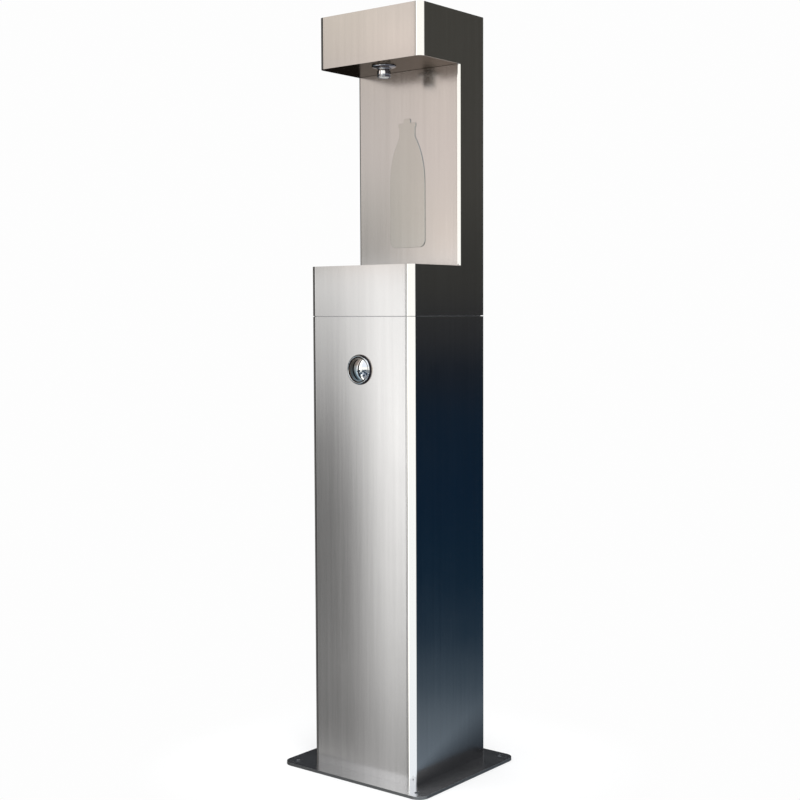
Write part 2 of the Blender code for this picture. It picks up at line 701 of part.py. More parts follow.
def build_outlet():
    turned("outlet_flange", OUTLET_FLANGE_PROFILE, "chrome", AT_OUTLET, steps=28, closed=True)
    turned("outlet_nozzle", NOZZLE_PROFILE, "chrome", AT_OUTLET, steps=28, closed=True)
    turned("aerator_insert", AERATOR_PROFILE, "plastic", AT_OUTLET, steps=20, closed=True)
    washer("outlet_washer", 15.0, 10.3, 4.0, 2.0, AT_OUTLET)
    nut("outlet_locknut", 15.5, 10.3, 4.4, 11.4, "brass", AT_OUTLET)


# ------------------------------------------------- rear panel, door and hinges
# Profile heights are positive out of the back, except along the upright hinge pins.
PANEL_SCREWS = [(side * 116.0, BACK_Y, z) for z in (956.0, 1210.0, 1464.0) for side in (-1, 1)]
SCREW_PROFILE = [(0.0, 4.6), (2.4, 4.4), (4.0, 2.4), (4.0, 2.2), (2.2, 2.2), (2.2, -8.0),
                 (0.0, -8.0)]

DOOR_LEFT_X = -113.4
DOOR_Z0, DOOR_Z1 = 36.0, 884.0
LOCK_X, LOCK_Z = 88.0, 460.0
AT_LOCK = (LOCK_X, BACK_Y, LOCK_Z)

HINGE_X, HINGE_Y = -117.0, 122.6
HINGE_HEIGHTS = {"lower": 150.0, "upper": 770.0}
PIN_R, PIN_BORE_R, KNUCKLE_R = 1.6, 1.7, 3.0
LEAF_START, LEAF_END = 0.3, 30.0        # a leaf's reach from the hinge's middle
PIN_PROFILE = [(0.0, 32.0), (2.8, 31.6), (2.8, 30.4), (PIN_R, 30.4), (PIN_R, -29.0),
               (0.0, -29.8)]


def build_rear_panel(upper):
    """The upper rear panel, screwed to the upper casing."""
    panel = box("rear_upper_panel", (-COVER_X, COVER_Y0, 928.0), (COVER_X, COVER_Y1, 1492.0),
                "brushed")
    holes = drills("panel_screw_holes", 2.6, 30.0, PANEL_SCREWS, AXIS_BACK)
    cut(panel, holes)
    cut(upper, holes)
    for number, spot in enumerate(PANEL_SCREWS, start=1):
        turned("rear_panel_screw_%d" % number, SCREW_PROFILE, "steel", spot, AXIS_BACK, 12)


def build_door():
    door = box("rear_door", (DOOR_LEFT_X, COVER_Y0, DOOR_Z0), (COVER_X, COVER_Y1, DOOR_Z1),
               "brushed")
    cut(door, cylinder_tool("lock_hole", 9.9, -20, 20, AT_LOCK, AXIS_BACK, 16))


def build_leaf(role, side, z0, z1, plate_x, plate_y, pin_bore):
    """A knuckle and its flat leaf; plate_x is from the pin, plate_y from the column's back."""
    z = HINGE_HEIGHTS[side]
    name = "hinge_%s_leaf_%s" % (role, side)
    leaf = place(name, cylinder_mesh(name, KNUCKLE_R, z0, z1, 16), "steel",
                 (HINGE_X, HINGE_Y, z))
    join(leaf, box_tool("%s_leaf_plate_%s" % (role, side),
                        (HINGE_X + plate_x[0], BACK_Y + plate_y[0], z + z0),
                        (HINGE_X + plate_x[1], BACK_Y + plate_y[1], z + z1)))
    cut(leaf, pin_bore)


def build_hinge(side):
    at = (HINGE_X, HINGE_Y, HINGE_HEIGHTS[side])
    pin_bore = cylinder_tool("pin_bore_" + side, PIN_BORE_R, -40, 40, at, steps=12)
    build_leaf("frame", side, -LEAF_END, -LEAF_START, (-9.0, -1.0), (0.4, 3.2), pin_bore)
    build_leaf("door", side, LEAF_START, LEAF_END, (0.5, 24.0), (2.3, 3.8), pin_bore)
    turned("hinge_pin_" + side, PIN_PROFILE, "chrome", at, steps=12)


# ------------------------------------------------------------------ door lock
LOCK_PROFILE = [(10.0, 4.6), (11.0, 3.6), (11.0, 2.3), (9.5, 2.3), (9.5, -5.2), (6.4, -5.2),
                (6.4, 4.6)]
PLUG_PROFILE = [(0.0, 4.2), (6.0, 4.2), (6.0, -5.8), (0.0, -5.8)]
CAM_HALF_W, CAM_REACH = 6.5, 32.0


def build_lock():
    """Quarter-turn cam lock; its plug and cam share one axis."""
    turned("lock_body", LOCK_PROFILE, "chrome", AT_LOCK, AXIS_BACK, 20, closed=True)
    nut("lock_nut", 13.6, 9.9, -4.4, -0.2, "steel", AT_LOCK, AXIS_BACK)
    plug = turned("lock_plug", PLUG_PROFILE, "chrome", AT_LOCK, AXIS_BACK, 20)
    cut(plug, box_tool("key_slot", (LOCK_X - 1.0, BACK_Y + 1.5, LOCK_Z - 3.5),
                       (LOCK_X + 1.0, BACK_Y + 9.0, LOCK_Z + 3.5)))
    # the cam stands upright, its tip cranked towards the door
    cam = place("lock_cam",
                box_mesh("lock_cam", (-CAM_HALF_W, -2.0, -7.0), (CAM_HALF_W, 0.0, CAM_REACH)),
                "steel", (LOCK_X, BACK_Y - 6.2, LOCK_Z))
    join(cam, box_tool("cam_tip", (LOCK_X - CAM_HALF_W, BACK_Y - 7.2, LOCK_Z + 20.0),
                       (LOCK_X + CAM_HALF_W, BACK_Y - 1.9, LOCK_Z + CAM_REACH)))


# ------------------------------------------------------------------- assembly
build_base()
build_lower_casing()
upper_casing = build_upper_casing()
build_niche_panel()
build_emblem()
build_head_plates()
build_shelf()
build_tray()
build_grate()
build_drain()
build_button()
build_valve()
build_spring()
build_isolation_valve()
build_pipes()
build_clip("tube_clip_lower", 1120.0)
build_clip("tube_clip_upper", 1320.0)
build_outlet()
build_rear_panel(upper_casing)
build_door()
for hinge_side in HINGE_HEIGHTS:
    build_hinge(hinge_side)
build_lock()
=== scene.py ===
"""A free-standing bottle-filling fountain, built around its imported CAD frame.

It stands upright on a floor plate: +Z up, front towards -Y, the viewer's right +X, centred on
x = 0.  A steel column carries a push button on its front, a bay with a drip tray, a head with
the outlet over the bay, and two covers on the back.  Sizes are in millimetres unless noted; MM
turns them into metres.
"""

import json
import math

import bmesh
import bpy
from mathutils import Matrix, Vector


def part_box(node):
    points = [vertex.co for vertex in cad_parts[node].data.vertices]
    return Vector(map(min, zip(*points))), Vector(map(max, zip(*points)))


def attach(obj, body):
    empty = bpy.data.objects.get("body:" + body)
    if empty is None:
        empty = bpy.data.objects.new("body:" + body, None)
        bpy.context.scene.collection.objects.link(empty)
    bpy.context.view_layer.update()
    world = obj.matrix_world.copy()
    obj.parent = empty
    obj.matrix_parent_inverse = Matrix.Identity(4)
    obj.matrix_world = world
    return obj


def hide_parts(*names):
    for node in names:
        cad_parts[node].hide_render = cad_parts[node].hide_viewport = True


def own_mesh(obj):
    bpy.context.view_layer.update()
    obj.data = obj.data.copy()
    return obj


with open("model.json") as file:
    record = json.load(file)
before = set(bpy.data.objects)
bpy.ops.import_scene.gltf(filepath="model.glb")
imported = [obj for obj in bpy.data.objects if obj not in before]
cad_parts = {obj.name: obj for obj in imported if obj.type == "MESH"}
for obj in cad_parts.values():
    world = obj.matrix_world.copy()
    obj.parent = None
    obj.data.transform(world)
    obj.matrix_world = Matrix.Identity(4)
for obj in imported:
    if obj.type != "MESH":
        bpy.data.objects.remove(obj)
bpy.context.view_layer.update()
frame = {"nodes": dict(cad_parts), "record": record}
scene = bpy.context.scene
MM = 0.001

OUT = Matrix.Rotation(math.radians(90), 3, "X")     # local +Z to -Y
BACK = Matrix.Rotation(math.radians(-90), 3, "X")   # local +Z to +Y


# ------------------------------------------------------------------ objects

def span(node):
    """Low and high corners of a CAD node, in millimetres."""
    lo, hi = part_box(node)
    return lo / MM, hi / MM


def link(obj):
    scene.collection.objects.link(obj)
    return obj


def obj_from(name, data, at=(0, 0, 0), turn=None):
    obj = link(bpy.data.objects.new(name, data))
    obj.location = Vector(at) * MM
    if turn is not None:
        obj.rotation_euler = turn.to_euler()
    return obj


def evaluated_mesh(obj, name):
    bpy.context.view_layer.update()
    graph = bpy.context.evaluated_depsgraph_get()
    mesh = bpy.data.meshes.new_from_object(obj.evaluated_get(graph))
    mesh.name = name
    return mesh


def carve(obj, mesh, at=(0, 0, 0), turn=None, operation="DIFFERENCE"):
    """Cut a mesh out of the object, or join it on; settle() applies it."""
    tool = obj_from(mesh.name, mesh, at, turn)
    mod = obj.modifiers.new(tool.name, "BOOLEAN")
    mod.operation = operation
    mod.solver = "EXACT"
    mod.object = tool


def settle(obj):
    """Apply the modifiers and the transform, and remove the solids the object was carved with."""
    mesh = evaluated_mesh(obj, obj.name)
    mesh.transform(obj.matrix_world)
    name = obj.name
    tools = [mod.object for mod in obj.modifiers if mod.type == "BOOLEAN"]
    for used in [obj] + tools:
        bpy.data.objects.remove(used, do_unlink=True)
    return link(bpy.data.objects.new(name, mesh))


def shade(obj, angle):
    """Smooth shading, with edges above the angle (degrees) kept sharp."""
    obj.data.shade_smooth()
    obj.data.set_sharp_from_angle(angle=math.radians(angle))
    mod = obj.modifiers.new("weighted", "WEIGHTED_NORMAL")
    mod.mode = "FACE_AREA"
    mod.weight = 100
    mod.keep_sharp = True


def piece(obj, replaces, material, body="column", angle=30.0):
    """Finish an object and let it stand in for one CAD node on a moving body."""
    obj.data.materials.clear()
    obj.data.materials.append(material)
    shade(obj, angle)
    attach(obj, body)
    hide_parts(replaces)
    return obj


# ----------------------------------------------------------------- outlines

def arc(cx, cy, radius, start, end, steps):
    """Points along an arc; angles in degrees."""
    angles = [math.radians(start + (end - start) * i / steps) for i in range(steps + 1)]
    return [(cx + radius * math.cos(a), cy + radius * math.sin(a)) for a in angles]


def circle(cx, cy, radius, steps):
    angles = [2 * math.pi * i / steps for i in range(steps)]
    return [(cx + radius * math.cos(a), cy + radius * math.sin(a)) for a in angles]


def rounded_rect(x0, y0, x1, y1, radii, steps=12):
    """Counter-clockwise outline; radii is one value, or four for (+x+y, -x+y, -x-y, +x-y)."""
    if isinstance(radii, (int, float)):
        radii = (radii,) * 4
    corners = ((x1, y1, -1, -1, 0), (x0, y1, 1, -1, 90), (x0, y0, 1, 1, 180), (x1, y0, -1, 1, 270))
    points = []
    for (cx, cy, sx, sy, start), radius in zip(corners, radii):
        if radius <= 0:
            points.append((cx, cy))
        else:
            points += arc(cx + sx * radius, cy + sy * radius, radius, start, start + 90, steps)
    return points


def soften(profile, radius, closed):
    """Round a profile's corners: each becomes a short curved run of four points."""
    out = []
    count = len(profile)
    for i, point in enumerate(profile):
        if not closed and i in (0, count - 1):
            out.append(point)
            continue
        before, corner, after = Vector(profile[i - 1]), Vector(point), Vector(profile[(i + 1) % count])
        len_before, len_after = (before - corner).length, (after - corner).length
        reach = min(radius, len_before * 0.42, len_after * 0.42)
        if reach < 0.02:
            out.append(point)
            continue
        start = corner + (before - corner) * (reach / len_before)
        end = corner + (after - corner) * (reach / len_after)
        for t in (0.0, 0.33, 0.67, 1.0):
            out.append(tuple(start * (1 - t) ** 2 + corner * (2 * t * (1 - t)) + end * t * t))
    return out


# ------------------------------------------------------------------- meshes

def write(bm, mesh):
    bm.to_mesh(mesh)
    bm.free()
    return mesh


def curve_mesh(name, curve, runs, cyclic):
    """The mesh of a curve laid along runs of (x, y, z) points."""
    for run in runs:
        spline = curve.splines.new("POLY")
        spline.points.add(len(run) - 1)
        spline.use_cyclic_u = cyclic
        for point, (x, y, z) in zip(spline.points, run):
            point.co = (x * MM, y * MM, z * MM, 1.0)
    carrier = obj_from(name, curve)
    mesh = evaluated_mesh(carrier, name)
    bpy.data.objects.remove(carrier, do_unlink=True)
    return mesh


def outline_mesh(name, loops, thickness, bevel, segments=2):
    """A flat plate from outlines, centred on z = 0, with softened edges."""
    curve = bpy.data.curves.new(name, "CURVE")
    curve.dimensions = "2D"
    curve.fill_mode = "BOTH"
    curve.extrude = thickness * MM / 2.0
    mesh = curve_mesh(name, curve, [[(x, y, 0.0) for x, y in loop] for loop in loops], cyclic=True)
    bm = bmesh.new()
    bm.from_mesh(mesh)
    bmesh.ops.remove_doubles(bm, verts=bm.verts, dist=0.000005)
    bmesh.ops.recalc_face_normals(bm, faces=bm.faces)
    bmesh.ops.dissolve_limit(bm, angle_limit=0.005, verts=bm.verts, edges=bm.edges)
    rim = [e for e in bm.edges if len(e.link_faces) == 2
           and e.calc_face_angle(0.0) > math.radians(60)
           and abs(e.verts[0].co.z - e.verts[1].co.z) < 1e-7]
    bmesh.ops.bevel(bm, geom=rim, offset=bevel * MM, offset_type="OFFSET",
                    segments=segments, profile=0.5, affect="EDGES", clamp_overlap=True)
    return write(bm, mesh)


def plate(name, node, loops, bevel, segments=2, thickness=None, upright=False):
    """A plate centred on a CAD node's thickness; upright ones have outlines in x and z."""
    lo, hi = span(node)
    axis = 1 if upright else 2
    middle = [0, 0, 0]
    middle[axis] = (lo[axis] + hi[axis]) / 2
    mesh = outline_mesh(name, loops, thickness or hi[axis] - lo[axis], bevel, segments)
    return settle(obj_from(name, mesh, middle, OUT if upright else None))


def prism(name, loop, z0, z1):
    bm = bmesh.new()
    face = bm.faces.new([bm.verts.new((x * MM, y * MM, z0 * MM)) for x, y in loop])
    made = bmesh.ops.extrude_face_region(bm, geom=[face])
    top = [g for g in made["geom"] if isinstance(g, bmesh.types.BMVert)]
    bmesh.ops.translate(bm, vec=(0, 0, (z1 - z0) * MM), verts=top)
    bmesh.ops.recalc_face_normals(bm, faces=bm.faces)
    return write(bm, bpy.data.meshes.new(name))


def block(name, lo, hi, bevel=0.0):
    bm = bmesh.new()
    bmesh.ops.create_cube(bm, size=1.0)
    lo, hi = Vector(lo), Vector(hi)
    bmesh.ops.scale(bm, vec=(hi - lo) * MM, verts=bm.verts)
    bmesh.ops.translate(bm, vec=(hi + lo) * 0.5 * MM, verts=bm.verts)
    if bevel > 0:
        bmesh.ops.bevel(bm, geom=bm.edges[:], offset=bevel * MM, offset_type="OFFSET",
                        segments=2, profile=0.5, affect="EDGES")
    return write(bm, bpy.data.meshes.new(name))


def cylinder(name, radius, z0, z1, steps):
    bm = bmesh.new()
    bmesh.ops.create_cone(bm, cap_ends=True, segments=steps, radius1=radius * MM,
                          radius2=radius * MM, depth=(z1 - z0) * MM)
    bmesh.ops.translate(bm, vec=(0, 0, (z0 + z1) / 2 * MM), verts=bm.verts)
    return write(bm, bpy.data.meshes.new(name))


def turned(name, profile, at, turn=None, steps=64, closed=False, rounding=0.5):
    """Spin a profile of (radius, height) points about local Z."""
    bm = bmesh.new()
    verts = [bm.verts.new((radius * MM, 0.0, height * MM))
             for radius, height in soften(profile, rounding, closed)]
    for pair in zip(verts, verts[1:]):
        bm.edges.new(pair)
    if closed:
        bm.edges.new((verts[-1], verts[0]))
    obj = obj_from(name, write(bm, bpy.data.meshes.new(name)), at, turn)
    mod = obj.modifiers.new("turn", "SCREW")
    mod.axis = "Z"
    mod.angle = 2 * math.pi
    mod.steps = steps
    mod.use_merge_vertices = True
    mod.merge_threshold = 0.000001
    return settle(obj)


def rod(name, points, radius):
    """A round wire along the points, capped at both ends."""
    curve = bpy.data.curves.new(name, "CURVE")
    curve.dimensions = "3D"
    curve.fill_mode = "FULL"
    curve.bevel_depth = radius * MM
    curve.bevel_resolution = 2
    curve.use_fill_caps = True
    mesh = curve_mesh(name, curve, [points], cyclic=False)
    bm = bmesh.new()
    bm.from_mesh(mesh)
    bmesh.ops.remove_doubles(bm, verts=bm.verts, dist=1e-6)
    return obj_from(name, write(bm, mesh))


# -------------------------------------------------------------- node graphs

class Graph:
    """A node tree with short ways to add and join nodes."""

    def __init__(self, tree):
        self.tree = tree

    def new(self, kind, **values):
        node = self.tree.nodes.new(kind)
        for key, value in values.items():
            setattr(node, key, value)
        return node

    def join(self, output, socket):
        self.tree.links.new(output, socket)

    def feed(self, socket, value):
        """Give a socket a number, a linear RGB colour or another node's output."""
        if isinstance(value, (int, float)):
            socket.default_value = value
        elif isinstance(value, tuple):
            socket.default_value = (*value, 1.0)
        else:
            self.join(value, socket)

    def math(self, op, *values, clamp=False):
        node = self.new("ShaderNodeMath", operation=op, use_clamp=clamp)
        for socket, value in zip(node.inputs, values):
            self.feed(socket, value)
        return node.outputs[0]

    def sway(self, pattern, amount, base, clamp=False):
        """base, moved by the pattern's swing about one half."""
        return self.math("MULTIPLY_ADD", self.math("SUBTRACT", pattern, 0.5), amount, base,
                         clamp=clamp)

    def weighted_sum(self, a, weight_a, b, weight_b):
        return self.math("ADD", self.math("MULTIPLY", a, weight_a),
                         self.math("MULTIPLY", b, weight_b))

    def step(self, value, start, end, low=0.0, high=1.0):
        """Smooth change from low to high as value goes from start to end."""
        node = self.new("ShaderNodeMapRange", interpolation_type="SMOOTHSTEP")
        for key, v in (("Value", value), ("From Min", start), ("From Max", end),
                       ("To Min", low), ("To Max", high)):
            self.feed(node.inputs[key], v)
        return node.outputs["Result"]

    def band(self, value, rise, fall):
        """1 between a rising and a falling step, 0 outside them."""
        return self.math("MULTIPLY", self.step(value, *rise),
                         self.math("SUBTRACT", 1.0, self.step(value, *fall)))

    def mix(self, fac, a, b, blend="MIX"):
        node = self.new("ShaderNodeMix", data_type="RGBA", blend_type=blend)
        for index, value in ((0, fac), (6, a), (7, b)):
            self.feed(node.inputs[index], value)
        return node.outputs[2]

    def mix_shaders(self, fac, a, b):
        node = self.new("ShaderNodeMixShader")
        for socket, value in zip(node.inputs, (fac, a, b)):
            self.join(value, socket)
        return node.outputs[0]

    def ramp(self, value, lo, hi, stops, interpolation, clamp):
        """Colour ramp over value in [lo, hi]; stops are (value, linear colour)."""
        node = self.new("ShaderNodeValToRGB")
        node.color_ramp.interpolation = interpolation
        elements = node.color_ramp.elements
        while len(elements) > 1:
            elements.remove(elements[-1])
        for k, (stop, colour) in enumerate(sorted(stops)):
            position = (stop - lo) / (hi - lo)
            element = elements[0] if k == 0 else elements.new(position)
            element.position = position
            element.color = (*colour, 1.0)
        share = self.math("DIVIDE", self.math("SUBTRACT", value, lo), hi - lo, clamp=clamp)
        self.join(share, node.inputs[0])
        return node.outputs[0]

    def coord(self, kind="Object"):
        return self.new("ShaderNodeTexCoord").outputs[kind]

    def split(self, vector):
        node = self.new("ShaderNodeSeparateXYZ")
        self.join(vector, node.inputs[0])
        return node.outputs

    def bearing(self, direction):
        """Azimuth (0 at the front, 90 towards +X) and elevation of a direction, in degrees."""
        x, y, z = self.split(direction)
        azimuth = self.math("ARCTAN2", x, self.math("MULTIPLY", y, -1.0))
        return (self.math("MULTIPLY", azimuth, 180 / math.pi),
                self.math("MULTIPLY", self.math("ARCSINE", z), 180 / math.pi))

    def noise(self, scale, detail=2.0, rough=0.5, distortion=0.0, stretch=(1.0, 1.0, 1.0),
              coord="Object"):
        mapping = self.new("ShaderNodeMapping")
        mapping.inputs["Scale"].default_value = stretch
        self.join(self.coord(coord), mapping.inputs["Vector"])
        node = self.new("ShaderNodeTexNoise")
        for key, value in (("Scale", scale), ("Detail", detail), ("Roughness", rough),
                           ("Distortion", distortion), ("Vector", mapping.outputs[0])):
            self.feed(node.inputs[key], value)
        return node.outputs["Fac"]

    def bump(self, height, strength, distance, normal=None):
        node = self.new("ShaderNodeBump")
        node.inputs["Strength"].default_value = strength
        node.inputs["Distance"].default_value = distance
        self.join(height, node.inputs["Height"])
        if normal is not None:
            self.join(normal, node.inputs["Normal"])
        return node.outputs[0]

    def source(self, kind, colour, strength=1.0):
        """An emission or background shader."""
        node = self.new(kind)
        self.feed(node.inputs["Color"], colour)
        self.feed(node.inputs["Strength"], strength)
        return node.outputs[0]


class Material(Graph):
    SOCKETS = {"color": "Base Color", "rough": "Roughness", "metal": "Metallic",
               "aniso": "Anisotropic", "tangent": "Tangent", "normal": "Normal",
               "tint": "Specular Tint"}

    def __init__(self, name):
        self.mat = bpy.data.materials.new(name)
        self.mat.use_nodes = True
        super().__init__(self.mat.node_tree)
        self.bsdf = next(n for n in self.tree.nodes if n.type == "BSDF_PRINCIPLED")

    def surface(self, **values):
        """Set the Principled shader's inputs and hand back the material."""
        for key, value in values.items():
            self.feed(self.bsdf.inputs[self.SOCKETS[key]], value)
        return self.mat

    def show(self, shader):
        """Put another shader in the Principled one's place and hand back the material."""
        self.tree.nodes.remove(self.bsdf)
        output = next(n for n in self.tree.nodes if n.type == "OUTPUT_MATERIAL")
        self.join(shader, output.inputs[0])
        return self.mat


# ---------------------------------------------------------------- materials
# Positions inside materials are object coordinates, in metres.

BEND_HIGHLIGHT = 1.5   # painted highlight: how much brighter the front right bends are painted than the flats


def side_finish(n, normal_x, colour, rough, side_rough, aniso):
    """The sides' own roughness, and painted shade low on the +X side: colour, roughness, anisotropy.
    """
    side = n.step(n.math("ABSOLUTE", normal_x), 0.015, 0.06)
    _, y, z = n.split(n.coord())
    level = n.math("MULTIPLY_ADD", side, side_rough - rough, rough)
    # the painted shade reaches higher towards the back
    reach = n.math("MULTIPLY_ADD", n.math("ADD", y, 0.118), 0.28, 0.026)
    foot_shade = n.math("MULTIPLY", n.step(n.math("DIVIDE", z, reach), 1.5, 0.15),
                   n.step(normal_x, 0.9, 0.99))
    foot_shade = n.math("MULTIPLY", foot_shade, 0.86)
    # painted shade: the foot of the +X side is darkened to a near-black blue grey
    return (n.mix(foot_shade, colour, (0.05, 0.052, 0.06)),
            n.math("MULTIPLY_ADD", foot_shade, 0.16, level),
            n.math("MULTIPLY", n.math("SUBTRACT", 1.0, foot_shade), aniso))


def brushed(name, grain="Z", colour=(0.66, 0.65, 0.64), rough=0.17, aniso=0.55, streak=0.05,
            bump=0.035, wave=0.10, side_rough=None, cut_edge=None, bend_highlight=BEND_HIGHLIGHT, tint=None):
    """Brushed stainless: long grain along one axis, broad streaks, smudges, slight oil-canning, and a
    painted highlight on the bends that face the front right.

    side_rough is the finish where the sheet turns away from the front, with painted shade low on
    the +X side; cut_edge is a darker colour painted on a plate's upright edges as painted shade;
    tint colours the specular light.
    """
    n = Material(name)

    def along(squeeze):
        return tuple(squeeze if axis == grain else 1.0 for axis in "XYZ")

    fine = n.noise(scale=1400.0, detail=2.0, rough=0.6, stretch=along(0.012))
    mid = n.noise(scale=260.0, detail=3.0, rough=0.6, stretch=along(0.012))
    wide = n.noise(scale=34.0, detail=3.0, rough=0.55, stretch=along(0.05))
    bands = n.noise(scale=105.0, detail=2.0, rough=0.5, stretch=along(0.02))
    smudge = n.noise(scale=9.0, detail=4.0, rough=0.6, distortion=0.4)
    grainy = n.weighted_sum(fine, 0.5, mid, 0.5)

    # streaks multiply the base colour
    tone = n.sway(grainy, streak * 2.2, 1.0)
    tone = n.sway(wide, streak * 1.2, tone)
    tone = n.sway(bands, streak * 1.6, tone)
    combine = n.new("ShaderNodeCombineColor")
    for socket in combine.inputs:
        n.join(tone, socket)
    col = n.mix(1.0, colour, combine.outputs[0], blend="MULTIPLY")

    # painted highlight where the surface turns from the front to the right
    normal_x, normal_y, normal_z = n.split(n.new("ShaderNodeNewGeometry").outputs["Normal"])
    bend = n.math("MULTIPLY", n.step(normal_x, 0.04, 0.11), n.step(normal_y, -0.099, -0.203))
    col = n.mix(bend, col, tuple(min(1.0, c * bend_highlight) for c in colour))

    level, combed = rough, aniso
    if side_rough is not None:
        col, level, combed = side_finish(n, normal_x, col, rough, side_rough, aniso)
    level = n.sway(grainy, 0.18, level)
    level = n.sway(smudge, 0.07, level, clamp=True)
    # painted shade: a plate's upright edges take a darker colour and a rougher finish
    if cut_edge is not None:
        flat = n.math("GREATER_THAN", n.math("ABSOLUTE", normal_z), 0.45)
        col = n.mix(flat, cut_edge, col)
        level = n.math("MULTIPLY_ADD", n.math("SUBTRACT", 1.0, flat), 0.2, level)

    # fine grain, then a slow wave over the whole sheet
    grain_bump = n.bump(n.weighted_sum(fine, 0.4, mid, 0.6), strength=bump, distance=0.0004)
    soft = n.noise(scale=2.3, detail=1.0, rough=0.4, stretch=(1.0, 1.0, 0.55))
    normal = n.bump(soft, strength=wave, distance=0.004, normal=grain_bump)
    direction = n.new("ShaderNodeCombineXYZ")
    direction.inputs["XYZ".index(grain)].default_value = 1.0
    if tint is not None:
        n.surface(tint=tint)
    return n.surface(color=col, rough=level, metal=1.0, aniso=combed, normal=normal,
                     tangent=direction.outputs[0])


def polished(name, colour):
    n = Material(name)
    smudge = n.noise(scale=70.0, detail=4.0, rough=0.6, distortion=0.3)
    tiny = n.noise(scale=900.0, detail=2.0, rough=0.5)
    level = n.math("MULTIPLY_ADD", n.math("POWER", smudge, 2.0), 0.10, 0.014, clamp=True)
    col = n.mix(smudge, colour, tuple(c * 0.93 for c in colour))
    return n.surface(color=col, rough=level, metal=1.0,
                     normal=n.bump(tiny, strength=0.02, distance=0.0001))


def chrome_with_painted_reflection(name, left_edge, rim_level):
    """Mirror chrome with a painted reflection of a cluttered room: its colour darkens towards the rim
    of the view, to the left of left_edge degrees, and in patches below the horizon."""
    n = Material(name)
    azimuth, elevation = n.bearing(n.coord("Reflection"))
    front = (0.985, 0.99, 1.0)

    # painted reflection: dark blue patches in a band below the horizon
    reflected_patches = n.noise(scale=1.5, detail=3.0, rough=0.6, stretch=(3.6, 3.6, 5.0), coord="Reflection")
    below = n.mix(n.step(reflected_patches, 0.50, 0.62), (0.022, 0.045, 0.075), front)
    col = n.mix(n.math("MULTIPLY", n.step(elevation, 2.0, -4.0), n.step(elevation, -52.0, -36.0)),
                front, below)

    # painted reflection of the left side, cool low down and warm high up
    left = n.mix(n.step(elevation, -30.0, 25.0), (0.30, 0.40, 0.46), (0.27, 0.26, 0.25))
    col = n.mix(n.step(azimuth, left_edge + 3.0, left_edge - 3.0), col, left)

    # painted reflection of a dark rim: far right, behind, high and low
    rim = n.math("MAXIMUM", n.step(azimuth, 52.0, 62.0),
                 n.step(n.math("ABSOLUTE", azimuth), 92.0, 104.0))
    rim = n.math("MAXIMUM", rim, n.step(elevation, 52.0, 64.0))
    rim = n.math("MAXIMUM", rim, n.step(elevation, -58.0, -68.0))
    col = n.mix(rim, col, (rim_level, rim_level, rim_level * 1.15))

    # the painted reflection shows only to the camera; other surfaces see a plain warm metal
    seen = n.new("ShaderNodeLightPath").outputs["Is Camera Ray"]
    col = n.mix(seen, (0.60, 0.54, 0.49), col)
    smudge = n.noise(scale=60.0, detail=3.0, rough=0.6)
    return n.surface(color=col, rough=n.math("MULTIPLY_ADD", smudge, 0.05, 0.012), metal=1.0)


def machined(name, colour, rough):
    """Bare metal, clouded 12 % lighter and darker, with short tool marks."""
    n = Material(name)
    cloud = n.noise(scale=120.0, detail=5.0, rough=0.65)
    ticks = n.noise(scale=500.0, detail=2.0, rough=0.6, stretch=(1.0, 1.0, 8.0))
    spots = 0.12
    col = n.mix(cloud, tuple(c * (1 - spots) for c in colour),
                tuple(min(1, c * (1 + spots)) for c in colour))
    return n.surface(color=col, rough=n.sway(cloud, 0.25, rough, clamp=True), metal=1.0,
                     normal=n.bump(ticks, strength=0.08, distance=0.0003))


def moulded(name, colour, rough, grain_scale):
    n = Material(name)
    grain = n.noise(scale=grain_scale, detail=3.0, rough=0.55)
    dirt = n.noise(scale=14.0, detail=4.0, rough=0.6, stretch=(1.0, 1.0, 0.4))
    col = n.mix(dirt, tuple(c * 0.88 for c in colour), colour)
    return n.surface(color=col, rough=n.sway(grain, 0.2, rough, clamp=True), metal=0.0,
                     normal=n.bump(grain, strength=0.12, distance=0.0003))


def braided(name):
    """Braided steel sleeve: two crossed families of fine strands."""
    n = Material(name)
    x, y, z = n.split(n.coord())
    around = n.math("ADD", x, y)
    strands = [n.math("SINE", n.math("MULTIPLY", n.math(op, around, z), 2600.0))
               for op in ("ADD", "SUBTRACT")]
    weave = n.math("MAXIMUM", *strands)
    level = n.math("MULTIPLY_ADD", weave, 0.35, 0.6, clamp=True)
    return n.surface(color=n.mix(level, (0.16, 0.16, 0.17), (0.72, 0.73, 0.75)), rough=0.3,
                     metal=1.0, normal=n.bump(weave, strength=0.5, distance=0.0006))


STEEL_UPRIGHT = brushed("brushed_steel_upright", streak=0.06, side_rough=0.085)
STEEL_LOWER = brushed("brushed_steel_lower", streak=0.085, side_rough=0.085)
STEEL_EMBLEM = brushed("brushed_steel_emblem", colour=(0.60, 0.60, 0.575), rough=0.24, wave=0.05,
                       bend_highlight=1.0)
# painted shade: the soffit's steel is given a dark brown grey colour for the shade under the head
STEEL_SOFFIT_SHADED = brushed("brushed_steel_soffit_shaded", "Y", colour=(0.152, 0.136, 0.118), rough=0.20,
                       aniso=0.35, wave=0.04, tint=(0.58, 0.54, 0.51))
STEEL_FLAT = brushed("brushed_steel_flat", "X", rough=0.18, aniso=0.4, wave=0.05)
